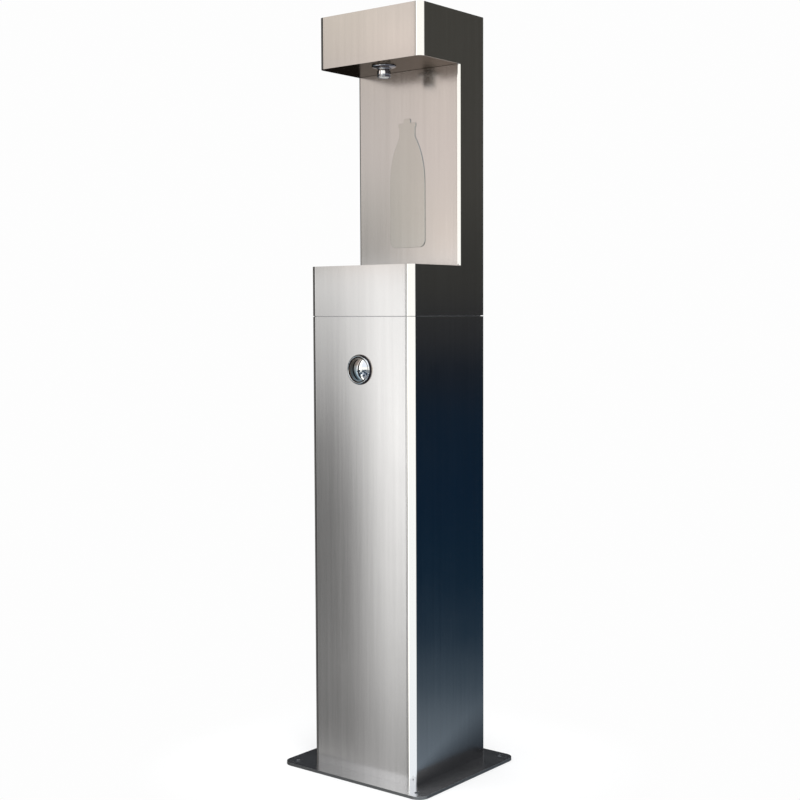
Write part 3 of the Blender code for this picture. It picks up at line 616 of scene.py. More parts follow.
# the base plate's upright edges get a darker colour, painted shade
STEEL_BASE = brushed("base_plate_steel", "X", colour=(0.78, 0.785, 0.80), rough=0.22, aniso=0.1,
                     streak=0.012, bump=0.006, wave=0.03, cut_edge=(0.20, 0.205, 0.21))
CHROME = polished("chrome_polish", colour=(0.86, 0.87, 0.88))
CHROME_BUTTON = chrome_with_painted_reflection("chrome_button", left_edge=-31.0, rim_level=0.03)
CHROME_OUTLET = chrome_with_painted_reflection("chrome_outlet", left_edge=-74.0, rim_level=0.20)
INNER = machined("mill_steel", colour=(0.46, 0.46, 0.47), rough=0.36)
SPRING = machined("spring_wire", colour=(0.42, 0.42, 0.44), rough=0.25)
BRASS = machined("cast_brass", colour=(0.68, 0.46, 0.18), rough=0.27)
RUBBER = moulded("seal_rubber", colour=(0.025, 0.025, 0.026), rough=0.65, grain_scale=500.0)
PLASTIC = moulded("white_moulding", colour=(0.78, 0.78, 0.75), rough=0.42, grain_scale=700.0)
HANDLE = moulded("dipped_red", colour=(0.55, 0.035, 0.025), rough=0.35, grain_scale=300.0)
HOSE = braided("braided_sleeve")

# ------------------------------------------------------- driving dimensions
SHEET = 1.5             # sheet thickness
FIT = 0.4               # gap between an inset plate and the casing around it
FRONT_BEND = 13.0       # outer bend radii
REAR_BEND = 4.0
BAY_BEND = 5.5
CREASE = 0.07           # depth of the press-brake dip beside each front bend
FRONT_CORNER = FRONT_BEND - SHEET - FIT     # corner radii of the inset plates
REAR_CORNER = REAR_BEND - SHEET - FIT

lower_lo, lower_hi = span("lower_casing")
upper_lo, upper_hi = span("upper_casing")
bay_lo, bay_hi = span("niche_panel")
HALF_W = lower_hi.x
FRONT_Y, BACK_Y = lower_lo.y, lower_hi.y
HEAD_Y = span("top_cover")[0].y - (SHEET + FIT)     # front face of the head
BAY_Y = bay_lo.y                                    # face of the bay's back wall
SPINE_Y = BAY_Y + BAY_BEND + 1.0                    # front edges of the sides along the bay
SEAM_Z, TOP_Z = upper_lo.z, upper_hi.z
SHELF_Z = 1008.0
SOFFIT_Z = span("head_soffit")[0].z
REAR_OPENING_X = 110.0                              # half width of the openings in the back
BUTTON_Z = (span("button_flange")[0].z + span("button_flange")[1].z) / 2
BUTTON_HOLE_R = 27.4
AT_BUTTON = (0, FRONT_Y, BUTTON_Z)


# ------------------------------------------------------------- main casings

def casing_loop(front, inset=0.0, bend=FRONT_BEND, crease=0.0):
    """Plan outline, counter-clockwise from the rear right corner, shrunk by inset.

    The front flats dip by the crease just before each bend, as a press brake leaves them.
    """
    y0, y1 = front + inset, BACK_Y - inset
    half, rear = HALF_W - inset, REAR_BEND - inset
    points = arc(half - rear, y1 - rear, rear, 0, 90, 5)
    points += arc(-half + rear, y1 - rear, rear, 90, 180, 5)
    if bend <= 0:
        return points + [(-half, y0), (half, y0)]
    bend -= inset
    points += arc(-half + bend, y0 + bend, bend, 180, 270, 18)
    if crease:
        x = half - bend
        # distance in from the bend, share of the crease depth
        dips = ((0.5, 0.42), (1.0, 0.80), (1.5, 1.0), (2.0, 0.80), (2.6, 0.38), (3.2, 0.10),
                (4.0, 0.0))
        points += [(-x + distance, y0 + crease * share) for distance, share in dips]
        points += [(x - distance, y0 + crease * share) for distance, share in reversed(dips)]
    return points + arc(half - bend, y0 + bend, bend, 270, 360, 18)


# lower casing, with the rear opening and the button hole
low = obj_from("column_shell", prism("column_shell", casing_loop(FRONT_Y, crease=CREASE),
                                     span("base_plate")[1].z + 0.03, lower_hi.z))
carve(low, prism("low_void", casing_loop(FRONT_Y, inset=SHEET), lower_lo.z - 10, lower_hi.z + 10))
carve(low, block("low_rear", (-REAR_OPENING_X, BACK_Y - 20, 44), (REAR_OPENING_X, BACK_Y + 20, 876)))
carve(low, cylinder("low_hole", BUTTON_HOLE_R, -20, 20, steps=64), AT_BUTTON, OUT)
piece(settle(low), "lower_casing", STEEL_LOWER)


def upper_void():
    """C-shaped hollow of the upper casing: pedestal, spine and head in one side profile."""
    front, head, spine, back = FRONT_Y + SHEET, HEAD_Y + SHEET, BAY_Y - 14, BACK_Y - SHEET
    bottom, top, shelf, soffit = SEAM_Z - 20, TOP_Z + 20, SHELF_Z + 20, SOFFIT_Z - 20
    half = HALF_W - SHEET
    side_profile = [(front, bottom), (back, bottom), (back, top), (head, top), (head, soffit),
                    (spine, soffit), (spine, shelf), (front, shelf)]
    mesh = prism("up_void", side_profile, -half, half)
    # profile (y, z) and extrusion x, back to x, y, z
    mesh.transform(Matrix(((0, 0, 1, 0), (1, 0, 0, 0), (0, 1, 0, 0), (0, 0, 0, 1))))
    bm = bmesh.new()
    bm.from_mesh(mesh)
    bmesh.ops.recalc_face_normals(bm, faces=bm.faces)
    for chosen, radius, segments in ((lambda y: y < HEAD_Y + 5, FRONT_BEND - SHEET, 18),
                                     (lambda y: y > BACK_Y - 10, REAR_BEND - SHEET, 5)):
        upright = []
        for edge in bm.edges:
            a, b = (v.co / MM for v in edge.verts)
            if abs(a.x - b.x) < 0.01 and abs(a.y - b.y) < 0.01 and chosen((a.y + b.y) / 2):
                upright.append(edge)
        bmesh.ops.bevel(bm, geom=upright, offset=radius * MM, offset_type="OFFSET",
                        segments=segments, profile=0.5, affect="EDGES")
    return write(bm, mesh)


# upper casing: a pedestal up to the shelf, the head, and the spine that joins them
up = obj_from("upper_shell", prism("upper_shell", casing_loop(FRONT_Y, crease=CREASE),
                                   SEAM_Z, SHELF_Z))
carve(up, prism("head_part", casing_loop(HEAD_Y, crease=CREASE), SOFFIT_Z, TOP_Z),
      operation="UNION")
carve(up, prism("spine_part", casing_loop(SPINE_Y, bend=0.0), SHELF_Z - 30, SOFFIT_Z + 30),
      operation="UNION")
carve(up, upper_void())
carve(up, block("up_rear", (-REAR_OPENING_X, BACK_Y - 20, 940), (REAR_OPENING_X, BACK_Y + 20, 1480)))
piece(settle(up), "upper_casing", STEEL_UPRIGHT)


def bay_wall_line(inset):
    """The bay wall's face in plan, from left to right, moved into the sheet by inset."""
    half, end, centre_y = HALF_W - inset, SPINE_Y - 0.15, BAY_Y + BAY_BEND
    return ([(-half, end)]
            + arc(-HALF_W + BAY_BEND, centre_y, BAY_BEND - inset, 180, 270, 14)
            + arc(HALF_W - BAY_BEND, centre_y, BAY_BEND - inset, 270, 360, 14)
            + [(half, end)])


# bay back wall with folded side edges that close onto the side sheets
wall = obj_from("bay_back_wall", prism("bay_back_wall", bay_wall_line(0.0)
                                       + bay_wall_line(SHEET)[::-1], bay_lo.z, bay_hi.z))
# its bottom flange closes onto the shelf
SKIRT_X = 126.3
carve(wall, block("wall_skirt", (-SKIRT_X, BAY_Y + 0.02, span("shelf_plate")[1].z + 0.15),
                  (SKIRT_X, BAY_Y + SHEET - 0.02, bay_lo.z + 3.0)), operation="UNION")
piece(settle(wall), "niche_panel", STEEL_UPRIGHT)


# ------------------------------------------------------------------- emblem

def emblem_outline():
    """Bottle: rounded foot, straight body, rounded shoulder, wide neck, collar and small cap."""
    half, neck, foot_r = 44.0, 19.4, 14.0
    shoulder_z, neck_z, steps = 1165.0, 1268.0, 28
    side = arc(half - foot_r, 1061.0, foot_r, -90, 0, 12)
    for i in range(steps + 1):
        t = i / steps
        side.append((neck + (half - neck) * (1.0 - t ** 2.5),
                     shoulder_z + (neck_z - shoulder_z) * t))
    # neck, collar and cap: x, z
    side += [(neck, 1286.0), (neck + 0.9, 1286.8), (21.6, 1287.6), (21.6, 1294.2), (20.9, 1295.0),
             (9.2, 1295.6), (8.4, 1296.6), (8.4, 1301.0), (7.2, 1303.2), (5.6, 1304.0)]
    return side + [(-x, z) for x, z in reversed(side)]


piece(plate("bottle_relief", "bottle_emblem", [emblem_outline()], bevel=0.35, segments=3,
            upright=True), "bottle_emblem", STEEL_EMBLEM, angle=40)

# ------------------------------------------------------ soffit, lid, shelf
OUTLET_Y = (span("outlet_flange")[0].y + span("outlet_flange")[1].y) / 2
TRAY_Y = -42.0

lo, hi = span("head_soffit")
piece(plate("head_underside", "head_soffit", [
    rounded_rect(lo.x, lo.y, hi.x, hi.y, (0, 0, FRONT_CORNER, FRONT_CORNER)),
    circle(0, OUTLET_Y, 11, 40)], bevel=0.25, thickness=SHEET), "head_soffit", STEEL_SOFFIT_SHADED)

lo, hi = span("top_cover")
piece(plate("head_lid", "top_cover", [
    rounded_rect(lo.x, lo.y, hi.x, hi.y, (REAR_CORNER, REAR_CORNER, FRONT_CORNER, FRONT_CORNER))],
    bevel=0.3, thickness=SHEET), "top_cover", STEEL_FLAT)

lo, hi = span("shelf_plate")
piece(plate("shelf_sheet", "shelf_plate", [
    rounded_rect(lo.x, lo.y, hi.x, hi.y, FRONT_CORNER),
    rounded_rect(-89, TRAY_Y - 53, 89, TRAY_Y + 53, 6, 6)],
    bevel=0.25, thickness=SHEET), "shelf_plate", STEEL_FLAT)

# drip tray: a thin rim with a hollow pan hung from it and a drain hole
RIM_T, RIM_W, PAN_WALL, PAN_CORNER = 1.0, 9, 1.2, 9
lo, hi = span("drip_tray")
tray = obj_from("drip_pan", outline_mesh("drip_pan_rim", [
    rounded_rect(lo.x, lo.y, hi.x, hi.y, 5, 6)], RIM_T, bevel=0.2), (0, 0, hi.z - RIM_T / 2))
carve(tray, prism("pan_body", rounded_rect(
    lo.x + RIM_W, lo.y + RIM_W, hi.x - RIM_W, hi.y - RIM_W, PAN_CORNER, 8),
    lo.z, hi.z - 0.4), operation="UNION")
hollow = RIM_W + PAN_WALL
carve(tray, prism("pan_hollow", rounded_rect(
    lo.x + hollow, lo.y + hollow, hi.x - hollow, hi.y - hollow, PAN_CORNER - PAN_WALL, 8),
    lo.z + PAN_WALL, hi.z + 9))
carve(tray, cylinder("pan_drain", 10.4, -10, 10, steps=48), (0, TRAY_Y, lo.z))
piece(settle(tray), "drip_tray", STEEL_FLAT)

# grate: a row of slots running front to back
SLOTS, SLOT_PITCH, SLOT_HALF_W, SLOT_HALF_L = 9, 18.0, 4, 42
lo, hi = span("drip_grate")
grate_loops = [rounded_rect(lo.x, lo.y, hi.x, hi.y, 4, 6)]
for i in range(SLOTS):
    slot_x = (i - SLOTS // 2) * SLOT_PITCH
    grate_loops.append(rounded_rect(slot_x - SLOT_HALF_W, TRAY_Y - SLOT_HALF_L,
                                    slot_x + SLOT_HALF_W, TRAY_Y + SLOT_HALF_L, 3.9, 6))
piece(plate("lift_out_grate", "drip_grate", grate_loops, bevel=0.4), "drip_grate", STEEL_FLAT,
      body="grate")

# --------------------------------------------------------------- base plate
FIXING_X, FIXING_Y, FIXING_R = 154, 138, 6
lo, hi = span("base_plate")
base_loops = [rounded_rect(lo.x, lo.y, hi.x, hi.y, 22, 16)]
base_loops += [circle(sx * FIXING_X, sy * FIXING_Y, FIXING_R, 32)
               for sx in (-1, 1) for sy in (-1, 1)]
base_loops.append(rounded_rect(-75, -15, 75, 75, 8, 6))
piece(plate("floor_plate", "base_plate", base_loops, bevel=0.6, segments=3), "base_plate",
      STEEL_BASE)

# ------------------------------------------------------------- push button
# Turned profiles are (radius, height); heights run out from the casing face.
bezel_r = span("button_flange")[1].x
cap_lo, cap_hi = span("push_button")
cap_r, cap_height = cap_hi.x, FRONT_Y - cap_lo.y

bezel = turned("button_bezel", [
    (cap_r + 0.45, 4.6), (cap_r + 0.9, 6.3), (cap_r + 2.6, 6.6), (28.4, 4.9), (bezel_r, 2.0),
    (bezel_r, 0.3), (27.0, 0.3), (27.0, -24.0), (cap_r + 0.4, -24.0)],
    AT_BUTTON, OUT, steps=96, closed=True, rounding=0.7)
piece(bezel, "button_flange", CHROME_BUTTON, angle=40)


def dome_profile():
    """A shallow spherical cap on a skirt."""
    rise, edge, steps = cap_height - 4.6, cap_r - 0.6, 14
    sphere_r = (edge ** 2 + rise ** 2) / (2 * rise)
    points = [(0.0, cap_height)]
    for i in range(1, steps + 1):
        a = math.asin(edge / sphere_r) * i / steps
        points.append((sphere_r * math.sin(a), cap_height - sphere_r * (1 - math.cos(a))))
    return points + [(cap_r, 3.6), (cap_r, -16.0), (cap_r - 3.2, -16.0), (cap_r - 3.2, -8.0),
                     (0.0, -8.0)]


piece(turned("button_dome", dome_profile(), AT_BUTTON, OUT, steps=96), "push_button",
      CHROME_BUTTON, body="button", angle=40)

# return spring: closed end coils
WIRE_R, TURNS, CLOSED_TURNS, STEPS_PER_TURN = 0.8, 5.5, 0.9, 28
spring_lo, spring_hi = span("return_spring")
coil_r = (spring_hi.x - spring_lo.x) / 2 - WIRE_R
coil_front, coil_back = spring_lo.y + WIRE_R, spring_hi.y - WIRE_R


def helix_points():
    open_turns = TURNS - 2 * CLOSED_TURNS
    open_length = coil_back - coil_front - 4 * CLOSED_TURNS * WIRE_R
    points = []
    for i in range(int(TURNS * STEPS_PER_TURN) + 1):
        turn = i / STEPS_PER_TURN
        advance = (min(turn, CLOSED_TURNS) * 2 * WIRE_R
                   + max(0.0, min(turn - CLOSED_TURNS, open_turns)) * open_length / open_turns
                   + max(0.0, turn - TURNS + CLOSED_TURNS) * 2 * WIRE_R)
        a = 2 * math.pi * turn
        points.append((coil_r * math.cos(a), coil_front + advance,
                       BUTTON_Z + coil_r * math.sin(a)))
    return points


coil = piece(rod("return_coil", helix_points(), WIRE_R), "return_spring", SPRING,
             angle=60)
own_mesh(coil)

# ------------------------------------------------------------------ outlet
AT_OUTLET = (0, OUTLET_Y, SOFFIT_Z)
rose_r = span("outlet_flange")[1].x
tip = span("outlet_nozzle")[0].z - SOFFIT_Z     # the spout's lower end, below the soffit

rose = turned("outlet_rose", [
    (14.5, -0.4), (rose_r, -0.4), (rose_r, -1.8), (rose_r - 1.4, -3.2), (18.6, -4.4),
    (15.6, -5.2), (14.5, -5.2)], AT_OUTLET, steps=96, closed=True)
piece(rose, "outlet_flange", CHROME_OUTLET, angle=40)

spout = turned("outlet_spout", [
    (6.4, 25.0), (9.8, 25.0), (9.8, -0.6), (13.2, -0.6), (13.4, -5.6), (11.6, -7.0),
    (11.8, -8.4), (13.2, -10.4), (13.2, tip + 5.4), (12.2, tip + 4.2), (12.2, tip + 3.2),
    (13.9, tip + 2.2), (13.9, tip + 0.9), (13.2, tip), (11.4, tip), (11.2, tip + 12.0),
    (6.4, tip + 14.0)], AT_OUTLET, steps=96, closed=True, rounding=0.7)
piece(spout, "outlet_nozzle", CHROME_OUTLET, angle=40)

# ------------------------------------------------------- rear upper cover
SCREW_PLACES = [(sx * 116.0, z) for z in (956.0, 1210.0, 1464.0) for sx in (-1, 1)]
SCREW_HOLE_R = 2.6
SCREW_PROFILE = [(0.0, 4.5), (1.6, 4.4), (3.2, 3.6), (4.0, 2.5), (4.0, 2.2), (2.2, 2.2),
                 (2.2, -8.0), (0.0, -8.0)]

lo, hi = span("rear_upper_panel")
piece(plate("rear_cover", "rear_upper_panel",
            [rounded_rect(lo.x, lo.z, hi.x, hi.z, 3, 5)]
            + [circle(x, z, SCREW_HOLE_R, 24) for x, z in SCREW_PLACES],
            bevel=0.35, upright=True), "rear_upper_panel", STEEL_UPRIGHT)

for k, (x, z) in enumerate(SCREW_PLACES, start=1):
    at_screw = (x, BACK_Y, z)
    screw = turned("cover_screw_%d" % k, SCREW_PROFILE, at_screw, BACK, steps=32)
    for degrees in (0, 90):     # cross recess
        carve(screw, block("recess", (-2.2, -0.35, 3.2), (2.2, 0.35, 6.0)), at_screw,
              BACK @ Matrix.Rotation(math.radians(degrees), 3, "Z"))
    piece(settle(screw), "rear_panel_screw_%d" % k, INNER, angle=35)

# -------------------------------------------------- service door and lock
LOCK_X, LOCK_Z, LOCK_HOLE_R = 88.0, 460.0, 9.9
AT_LOCK = (LOCK_X, BACK_Y, LOCK_Z)

lo, hi = span("rear_door")
piece(plate("service_door_sheet", "rear_door",
            [rounded_rect(lo.x, lo.z, hi.x, hi.z, 3, 5), circle(LOCK_X, LOCK_Z, LOCK_HOLE_R, 40)],
            bevel=0.35, upright=True), "rear_door", STEEL_UPRIGHT, body="service_door")

barrel = turned("lock_barrel", [
    (9.8, 4.6), (11.0, 3.6), (11.0, 2.3), (9.5, 2.3), (9.5, -5.2), (6.4, -5.2), (6.4, 4.6)],
    AT_LOCK, BACK, closed=True, rounding=0.4)
piece(barrel, "lock_body", CHROME, body="service_door", angle=40)

plug = turned("lock_keyway", [(0.0, 4.2), (6.0, 4.2), (6.0, -5.8), (0.0, -5.8)], AT_LOCK, BACK)
carve(plug, block("slot", (LOCK_X - 0.9, BACK_Y + 1.2, LOCK_Z - 3.6),
                  (LOCK_X + 0.9, BACK_Y + 9, LOCK_Z + 3.6)))
piece(settle(plug), "lock_plug", CHROME, body="lock_plug_and_cam", angle=40)

# ------------------------------------------------------------------ hinges
HINGE_X, HINGE_Y = -117.0, 122.6
KNUCKLE_R, BORE_R, LEAF_H, LEAF_GAP = 3.0, 1.7, 30.0, 0.3
# kind, body, knuckle z range about the hinge, leaf x range about the axis, y range off the back
LEAVES = (("frame", "column", (-LEAF_H, -LEAF_GAP), (-9, -1), (0.4, 3.2)),
          ("door", "service_door", (LEAF_GAP, LEAF_H), (0.5, 24), (2.3, 3.8)))
PIN_PROFILE = [(0.0, 32.0), (2.8, 31.6), (2.8, 30.4), (1.6, 30.4), (1.6, -29.0), (0.0, -29.8)]

for side, hinge_z in (("lower", 150.0), ("upper", 770.0)):
    at_hinge = (HINGE_X, HINGE_Y, hinge_z)
    for kind, body, (z0, z1), (x0, x1), (y0, y1) in LEAVES:
        node = "hinge_%s_leaf_%s" % (kind, side)
        leaf = obj_from("%s_%s_hinge_leaf" % (side, kind),
                        cylinder(node, KNUCKLE_R, z0, z1, steps=40), at_hinge)
        carve(leaf, block("leaf", (HINGE_X + x0, BACK_Y + y0, hinge_z + z0),
                          (HINGE_X + x1, BACK_Y + y1, hinge_z + z1), bevel=0.3),
              operation="UNION")
        carve(leaf, cylinder("bore", BORE_R, -40, 40, steps=32), at_hinge)
        piece(settle(leaf), node, INNER, body=body, angle=35)
    piece(turned("%s_hinge_pin" % side, PIN_PROFILE, at_hinge, steps=32), "hinge_pin_%s" % side,
          CHROME, angle=40)

# -------------------------------------------------- finishes on carried nodes
CARRIED = {
    "inner_steel": INNER, "chrome": CHROME, "spring_steel": SPRING, "brass": BRASS,
    "seal_rubber": RUBBER, "white_plastic": PLASTIC, "hose_steel": HOSE, "handle_red": HANDLE,
    "brushed_steel": STEEL_FLAT, "base_steel": STEEL_BASE,
}
slots = {s["node"]: s["material_slot"] for s in frame["record"]["subparts"]}
for name, obj in frame["nodes"].items():
    finish = CARRIED[slots[name]]
    if obj.data.materials:
        for i in range(len(obj.data.materials)):
            obj.data.materials[i] = finish
    else:
        obj.data.materials.append(finish)

# --------------------------------------------------------------- the studio
# From here on lengths are in metres.

PALE = 0.985                # brightness of the floor and the backdrop
STEEL_REFLECTANCE = 0.65    # share of the surround that plain steel gives back


def linear(value):
    """Linear level of an 8-bit sRGB one."""
    value /= 255.0
    return value / 12.92 if value <= 0.04045 else ((value + 0.055) / 1.055) ** 2.4


def lit(red, green, blue, gain=1.0):
    """Surround colour that steel reflects as the given sRGB colour."""
    return tuple(linear(c) / STEEL_REFLECTANCE * gain for c in (red, green, blue))


def floor_material():
    """Glowing pale floor that turns matte near the base, so that it takes contact shade, with painted
    shade beneath the base plate.
    """
    n = Material("pale_floor")
    x, y, _ = n.split(n.coord())
    off_x, off_y = (n.math("MAXIMUM", n.math("SUBTRACT", n.math("ABSOLUTE", v), half), 0.0)
                    for v, half in ((x, 0.165), (y, 0.145)))
    reach = n.math("SQRT", n.math("ADD", n.math("MULTIPLY", off_x, off_x),
                                  n.math("MULTIPLY", off_y, off_y)))
    near = n.step(reach, 0.0, 0.34, low=0.62, high=0.0)
    # painted shade: beneath the base plate the floor is matte and near black, seen through the plate's
    # holes
    beneath = n.math("LESS_THAN", reach, 0.002)
    matte = n.new("ShaderNodeBsdfDiffuse")
    n.join(n.mix(beneath, (0.95, 0.95, 0.95), (0.10, 0.10, 0.10)), matte.inputs[0])
    glow = n.source("ShaderNodeEmission", (1.0, 1.0, 1.0), PALE)
    return n.show(n.mix_shaders(n.math("MAXIMUM", near, beneath), glow, matte.outputs[0]))


bm = bmesh.new()
bmesh.ops.create_grid(bm, x_segments=2, y_segments=2, size=14.0)
floor = link(bpy.data.objects.new("studio_floor", write(bm, bpy.data.meshes.new("studio_floor"))))
floor.data.materials.append(floor_material())
floor.visible_glossy = False

# ------------------------------------------------------------------- world
# What mirrors see in each direction: elevation in degrees, the sRGB colour steel shows, and
# an optional gain.
DIM = 1 / BEND_HIGHLIGHT   # makes up for the painted highlight on the bends that face the front right
RIGHT_BACK = (
    (-40, 120, 130, 140), (-24, 112, 124, 134), (-18.4, 97, 107, 117), (-17, 84, 94, 103),
    (-15.2, 54, 66, 77), (-13.2, 29, 44, 58), (-10.8, 15, 33, 49), (-7.5, 11, 28, 45),
    (-4.6, 13, 28, 43), (-2.4, 22, 28, 36), (-0.9, 40, 41, 43), (1.5, 50, 50, 48),
    (6, 61, 60, 57), (13, 61, 60, 56), (18, 62, 62, 64), (27, 118, 120, 124), (40, 176, 178, 182))
BACK_LEFT = (
    (-60, 60, 60, 60), (-25, 44, 40, 36), (-8, 36, 33, 30), (0, 14, 14, 15), (12, 13, 14, 16),
    (25, 24, 26, 29), (34, 116, 118, 121), (60, 180, 182, 185))
STRAIGHT_BACK = (
    (-50, 150, 151, 153), (-20, 118, 119, 121), (0, 112, 113, 114), (20, 140, 141, 142),
    (50, 190, 191, 192))
FRONT_LEFT = (
    (-50, 150, 150, 154), (-30, 128, 128, 130), (-20, 104, 104, 104), (12, 98, 96, 92),
    (30, 110, 108, 104), (50, 170, 170, 170))
FRONT_RIGHT = (
    (-50, 130, 134, 140, 0.8), (-24, 226, 234, 244, DIM), (-10, 244, 248, 247, DIM),
    (-2, 254, 254, 250, DIM), (13, 254, 253, 247, DIM), (16.5, 232, 238, 246, DIM),
    (50, 240, 244, 250, DIM))


def build_world():
    """Pale to the camera and to diffuse light, a shaped surround to mirrors."""
    world = bpy.data.worlds.new("studio")
    scene.world = world
    world.use_nodes = True
    world.node_tree.nodes.clear()
    n = Graph(world.node_tree)
    azimuth, elevation = n.bearing(n.coord("Generated"))

    def sector(rows):
        return n.ramp(elevation, rows[0][0], rows[-1][0], [(row[0], lit(*row[1:])) for row in rows],
                      interpolation="EASE", clamp=True)

    # sector, azimuths over which it fades in, azimuths over which it fades out
    surround = sector(BACK_LEFT)
    for rows, rise, fall in ((FRONT_LEFT, (-104, -88), (-34, -26)),
                             (FRONT_RIGHT, (-34, -26), (118, 130)),
                             (RIGHT_BACK, (118, 130), (172, 180))):
        surround = n.mix(n.band(azimuth, rise, fall), surround, sector(rows))
    behind = n.step(n.math("ABSOLUTE", azimuth, 0.0), 156, 168)
    surround = n.mix(behind, surround, sector(STRAIGHT_BACK))

    ray = n.new("ShaderNodeLightPath").outputs
    mirror = n.source("ShaderNodeBackground", surround)
    pale = n.source("ShaderNodeBackground", (1.0, 1.0, 1.0), PALE)
    fill = n.source("ShaderNodeBackground", (0.98, 0.99, 1.0))
    unseen = n.mix_shaders(ray["Is Glossy Ray"], fill, mirror)
    n.join(n.mix_shaders(ray["Is Camera Ray"], unseen, pale),
           n.new("ShaderNodeOutputWorld").inputs[0])


build_world()

# ---------------------------------------------------------- reflector card
# A graded card close to the front left, seen only by the metal: at each height it runs from a
# left level to a right level, past a dark upright gap to a white wing.
CAMERA_AT = Vector((1.7256, -2.1561, 0.9171))
CARD_Y = -0.66
CARD_X0, CARD_X1, CARD_Z0, CARD_Z1 = -1.5, 0.0, -0.5, 1.85
CASING_PLANE, BAY_PLANE, HEAD_PLANE = FRONT_Y * MM, BAY_Y * MM, HEAD_Y * MM

# height on the casing, grey level the steel shows there
LEFT_CASING = (
    (0.02, 150), (0.04, 118), (0.075, 107), (0.20, 114), (0.40, 106), (0.55, 110), (0.66, 122),
    (0.77, 158), (0.86, 180), (0.92, 190), (0.965, 204), (1.004, 211))
RIGHT_CASING = (
    (0.03, 164), (0.10, 170), (0.24, 200), (0.40, 224), (0.52, 234), (0.64, 247), (0.77, 250),
    (0.86, 246), (0.92, 243), (0.965, 243), (1.004, 241))
# height on the bay wall or the head, sRGB colour the steel shows there
LEFT_BAY = (
    (1.014, (144, 142, 138)), (1.06, (156, 152, 148)), (1.13, (172, 169, 164)),
    (1.22, (190, 183, 179)), (1.39, (188, 180, 175)))
RIGHT_BAY = (
    (1.014, (216, 204, 196)), (1.06, (214, 203, 195)), (1.13, (206, 196, 189)),
    (1.22, (204, 193, 188)), (1.39, (198, 188, 181)))
LEFT_HEAD = ((1.41, (192, 183, 175)), (1.49, (203, 194, 184)))
RIGHT_HEAD = ((1.41, (228, 214, 205)), (1.49, (208, 198, 190)))


def on_card(value, eye, plane):
    """Where the camera's mirror ray off a front point at y = plane meets the card, along x or z.

    value and eye are the point's and the camera's coordinate on that axis.
    """
    return value + (value - eye) * (plane - CARD_Y) / (plane - CAMERA_AT.y)


def card_stops(casing, bay, head):
    rows = [(z, (grey,) * 3, CASING_PLANE) for z, grey in casing]
    rows += [(z, colour, BAY_PLANE) for z, colour in bay]
    rows += [(z, colour, HEAD_PLANE) for z, colour in head]
    return [(on_card(z, CAMERA_AT.z, plane), lit(*colour)) for z, colour, plane in rows]


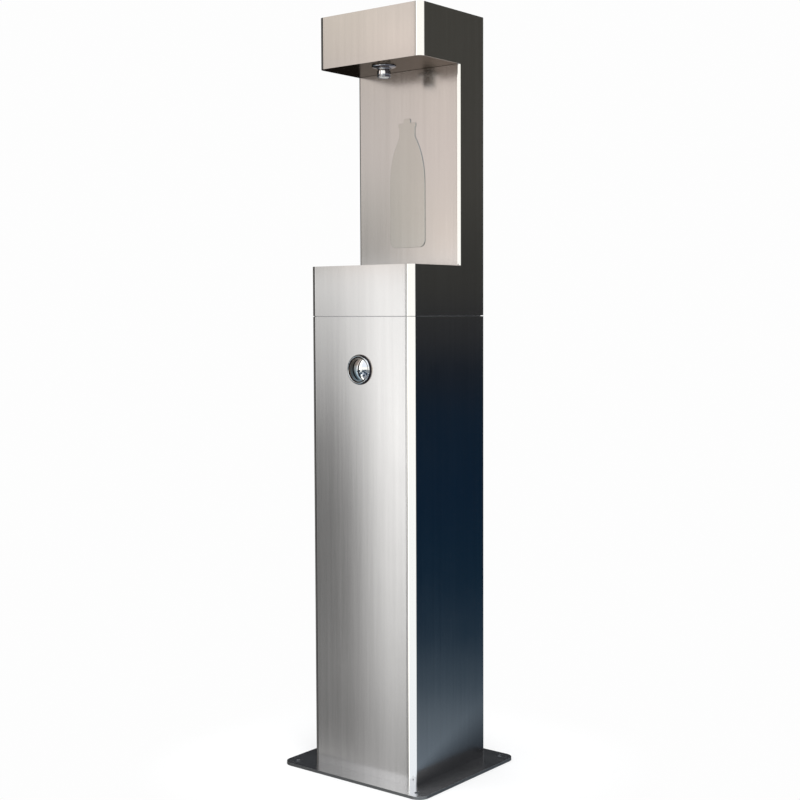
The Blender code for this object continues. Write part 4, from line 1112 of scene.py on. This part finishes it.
def card_material():
    n = Material("front_left_card")
    x, _, z = n.split(n.coord())
    left_level, right_level = (
        n.ramp(z, CARD_Z0, CARD_Z1, card_stops(*tables), interpolation="LINEAR", clamp=False)
        for tables in ((LEFT_CASING, LEFT_BAY, LEFT_HEAD), (RIGHT_CASING, RIGHT_BAY, RIGHT_HEAD)))

    # left and right limits of the grading; they shift where the set-back bay is reflected
    in_bay = n.band(z, (1.0345, 1.0395), (1.535, 1.545))

    def limit(column_x):
        casing = on_card(column_x, CAMERA_AT.x, CASING_PLANE)
        bay = on_card(column_x, CAMERA_AT.x, BAY_PLANE)
        return n.math("MULTIPLY_ADD", in_bay, bay - casing, casing)

    x_left, x_right = limit(-0.119), limit(0.105)
    across = n.math("DIVIDE", n.math("SUBTRACT", x, x_left), n.math("SUBTRACT", x_right, x_left))
    blend_from = n.math("MULTIPLY_ADD", n.step(z, 0.25, 1.0), -0.20, 0.27)
    tone = n.mix(n.step(across, blend_from, 0.99), left_level, right_level)

    # dark, then dim, beyond the left limit
    beyond = n.math("SUBTRACT", x_left, x)
    tone = n.mix(n.step(beyond, 0.12, 0.17), tone, lit(16, 16, 18))
    tone = n.mix(n.step(beyond, 0.42, 0.75), tone, lit(70, 70, 72))

    # dark upright gap and white wing on the right
    gap_end = n.math("MULTIPLY_ADD", n.step(z, 0.1, -0.45), 0.05, -0.165)
    tone = n.mix(n.step(x, -0.285, -0.245), tone, lit(44, 44, 46))
    tone = n.mix(n.step(x, gap_end, n.math("ADD", gap_end, 0.05)), tone,
                 lit(255, 255, 249, gain=1.02))

    # the floor throws some light back up between the plate and the column's foot
    depth = n.new("ShaderNodeLightPath").outputs["Glossy Depth"]
    twice = n.math("GREATER_THAN", depth, 1.5)
    twice = n.math("MULTIPLY", twice, n.step(z, 0.75, 0.5))
    twice = n.math("MULTIPLY", twice, n.math("SUBTRACT", 1.0, n.step(across, 0.25, 0.85)))
    strength = n.math("MULTIPLY_ADD", twice, 0.8, 1.0)
    mat = n.show(n.source("ShaderNodeEmission", tone, strength))
    mat.cycles.emission_sampling = "NONE"
    return mat


bm = bmesh.new()
bm.faces.new([bm.verts.new((x, CARD_Y, z)) for x, z in (
    (CARD_X0, CARD_Z0), (CARD_X1, CARD_Z0), (CARD_X1, CARD_Z1), (CARD_X0, CARD_Z1))])
card = link(bpy.data.objects.new("front_left_card",
                                 write(bm, bpy.data.meshes.new("front_left_card"))))
card.data.materials.append(card_material())
card.visible_camera = False
card.visible_diffuse = False
card.visible_shadow = False
card.visible_transmission = False
card.visible_volume_scatter = False

# ------------------------------------------------------------------ lights
# Large and soft, hidden from the metal; they give the floor its contact shade.
LIGHT_TARGET = Vector((0, 0, 0.6))
for name, at, size, watts in (("key", (2.4, -2.0, 3.2), 2.2, 60.0),
                              ("fill", (-2.6, -1.6, 2.6), 2.4, 30.0)):
    data = bpy.data.lights.new(name, "AREA")
    data.shape = "SQUARE"
    data.size = size
    data.energy = watts
    lamp = link(bpy.data.objects.new(name, data))
    lamp.location = at
    lamp.rotation_euler = (LIGHT_TARGET - Vector(at)).to_track_quat("-Z", "Y").to_euler()
    lamp.visible_glossy = False

# ------------------------------------------------------------------- camera
YAW, PITCH, ROLL = 0.67353, -0.0638, -0.00411   # radians
forward = Vector((-math.sin(YAW) * math.cos(PITCH), math.cos(YAW) * math.cos(PITCH),
                  math.sin(PITCH)))
level_right = Vector((math.cos(YAW), math.sin(YAW), 0.0))
level_up = level_right.cross(forward)
right = level_right * math.cos(ROLL) + level_up * math.sin(ROLL)
upward = -level_right * math.sin(ROLL) + level_up * math.cos(ROLL)

cam_data = bpy.data.cameras.new("camera")
cam_data.sensor_width = 36.0
cam_data.lens = 61.86
cam_data.clip_start = 0.05
cam = link(bpy.data.objects.new("camera", cam_data))
cam.matrix_world = Matrix([(right[i], upward[i], -forward[i], CAMERA_AT[i]) for i in range(3)]
                          + [(0, 0, 0, 1)])
scene.camera = cam
scene.view_settings.view_transform = "Standard"
scene.view_settings.look = "None"
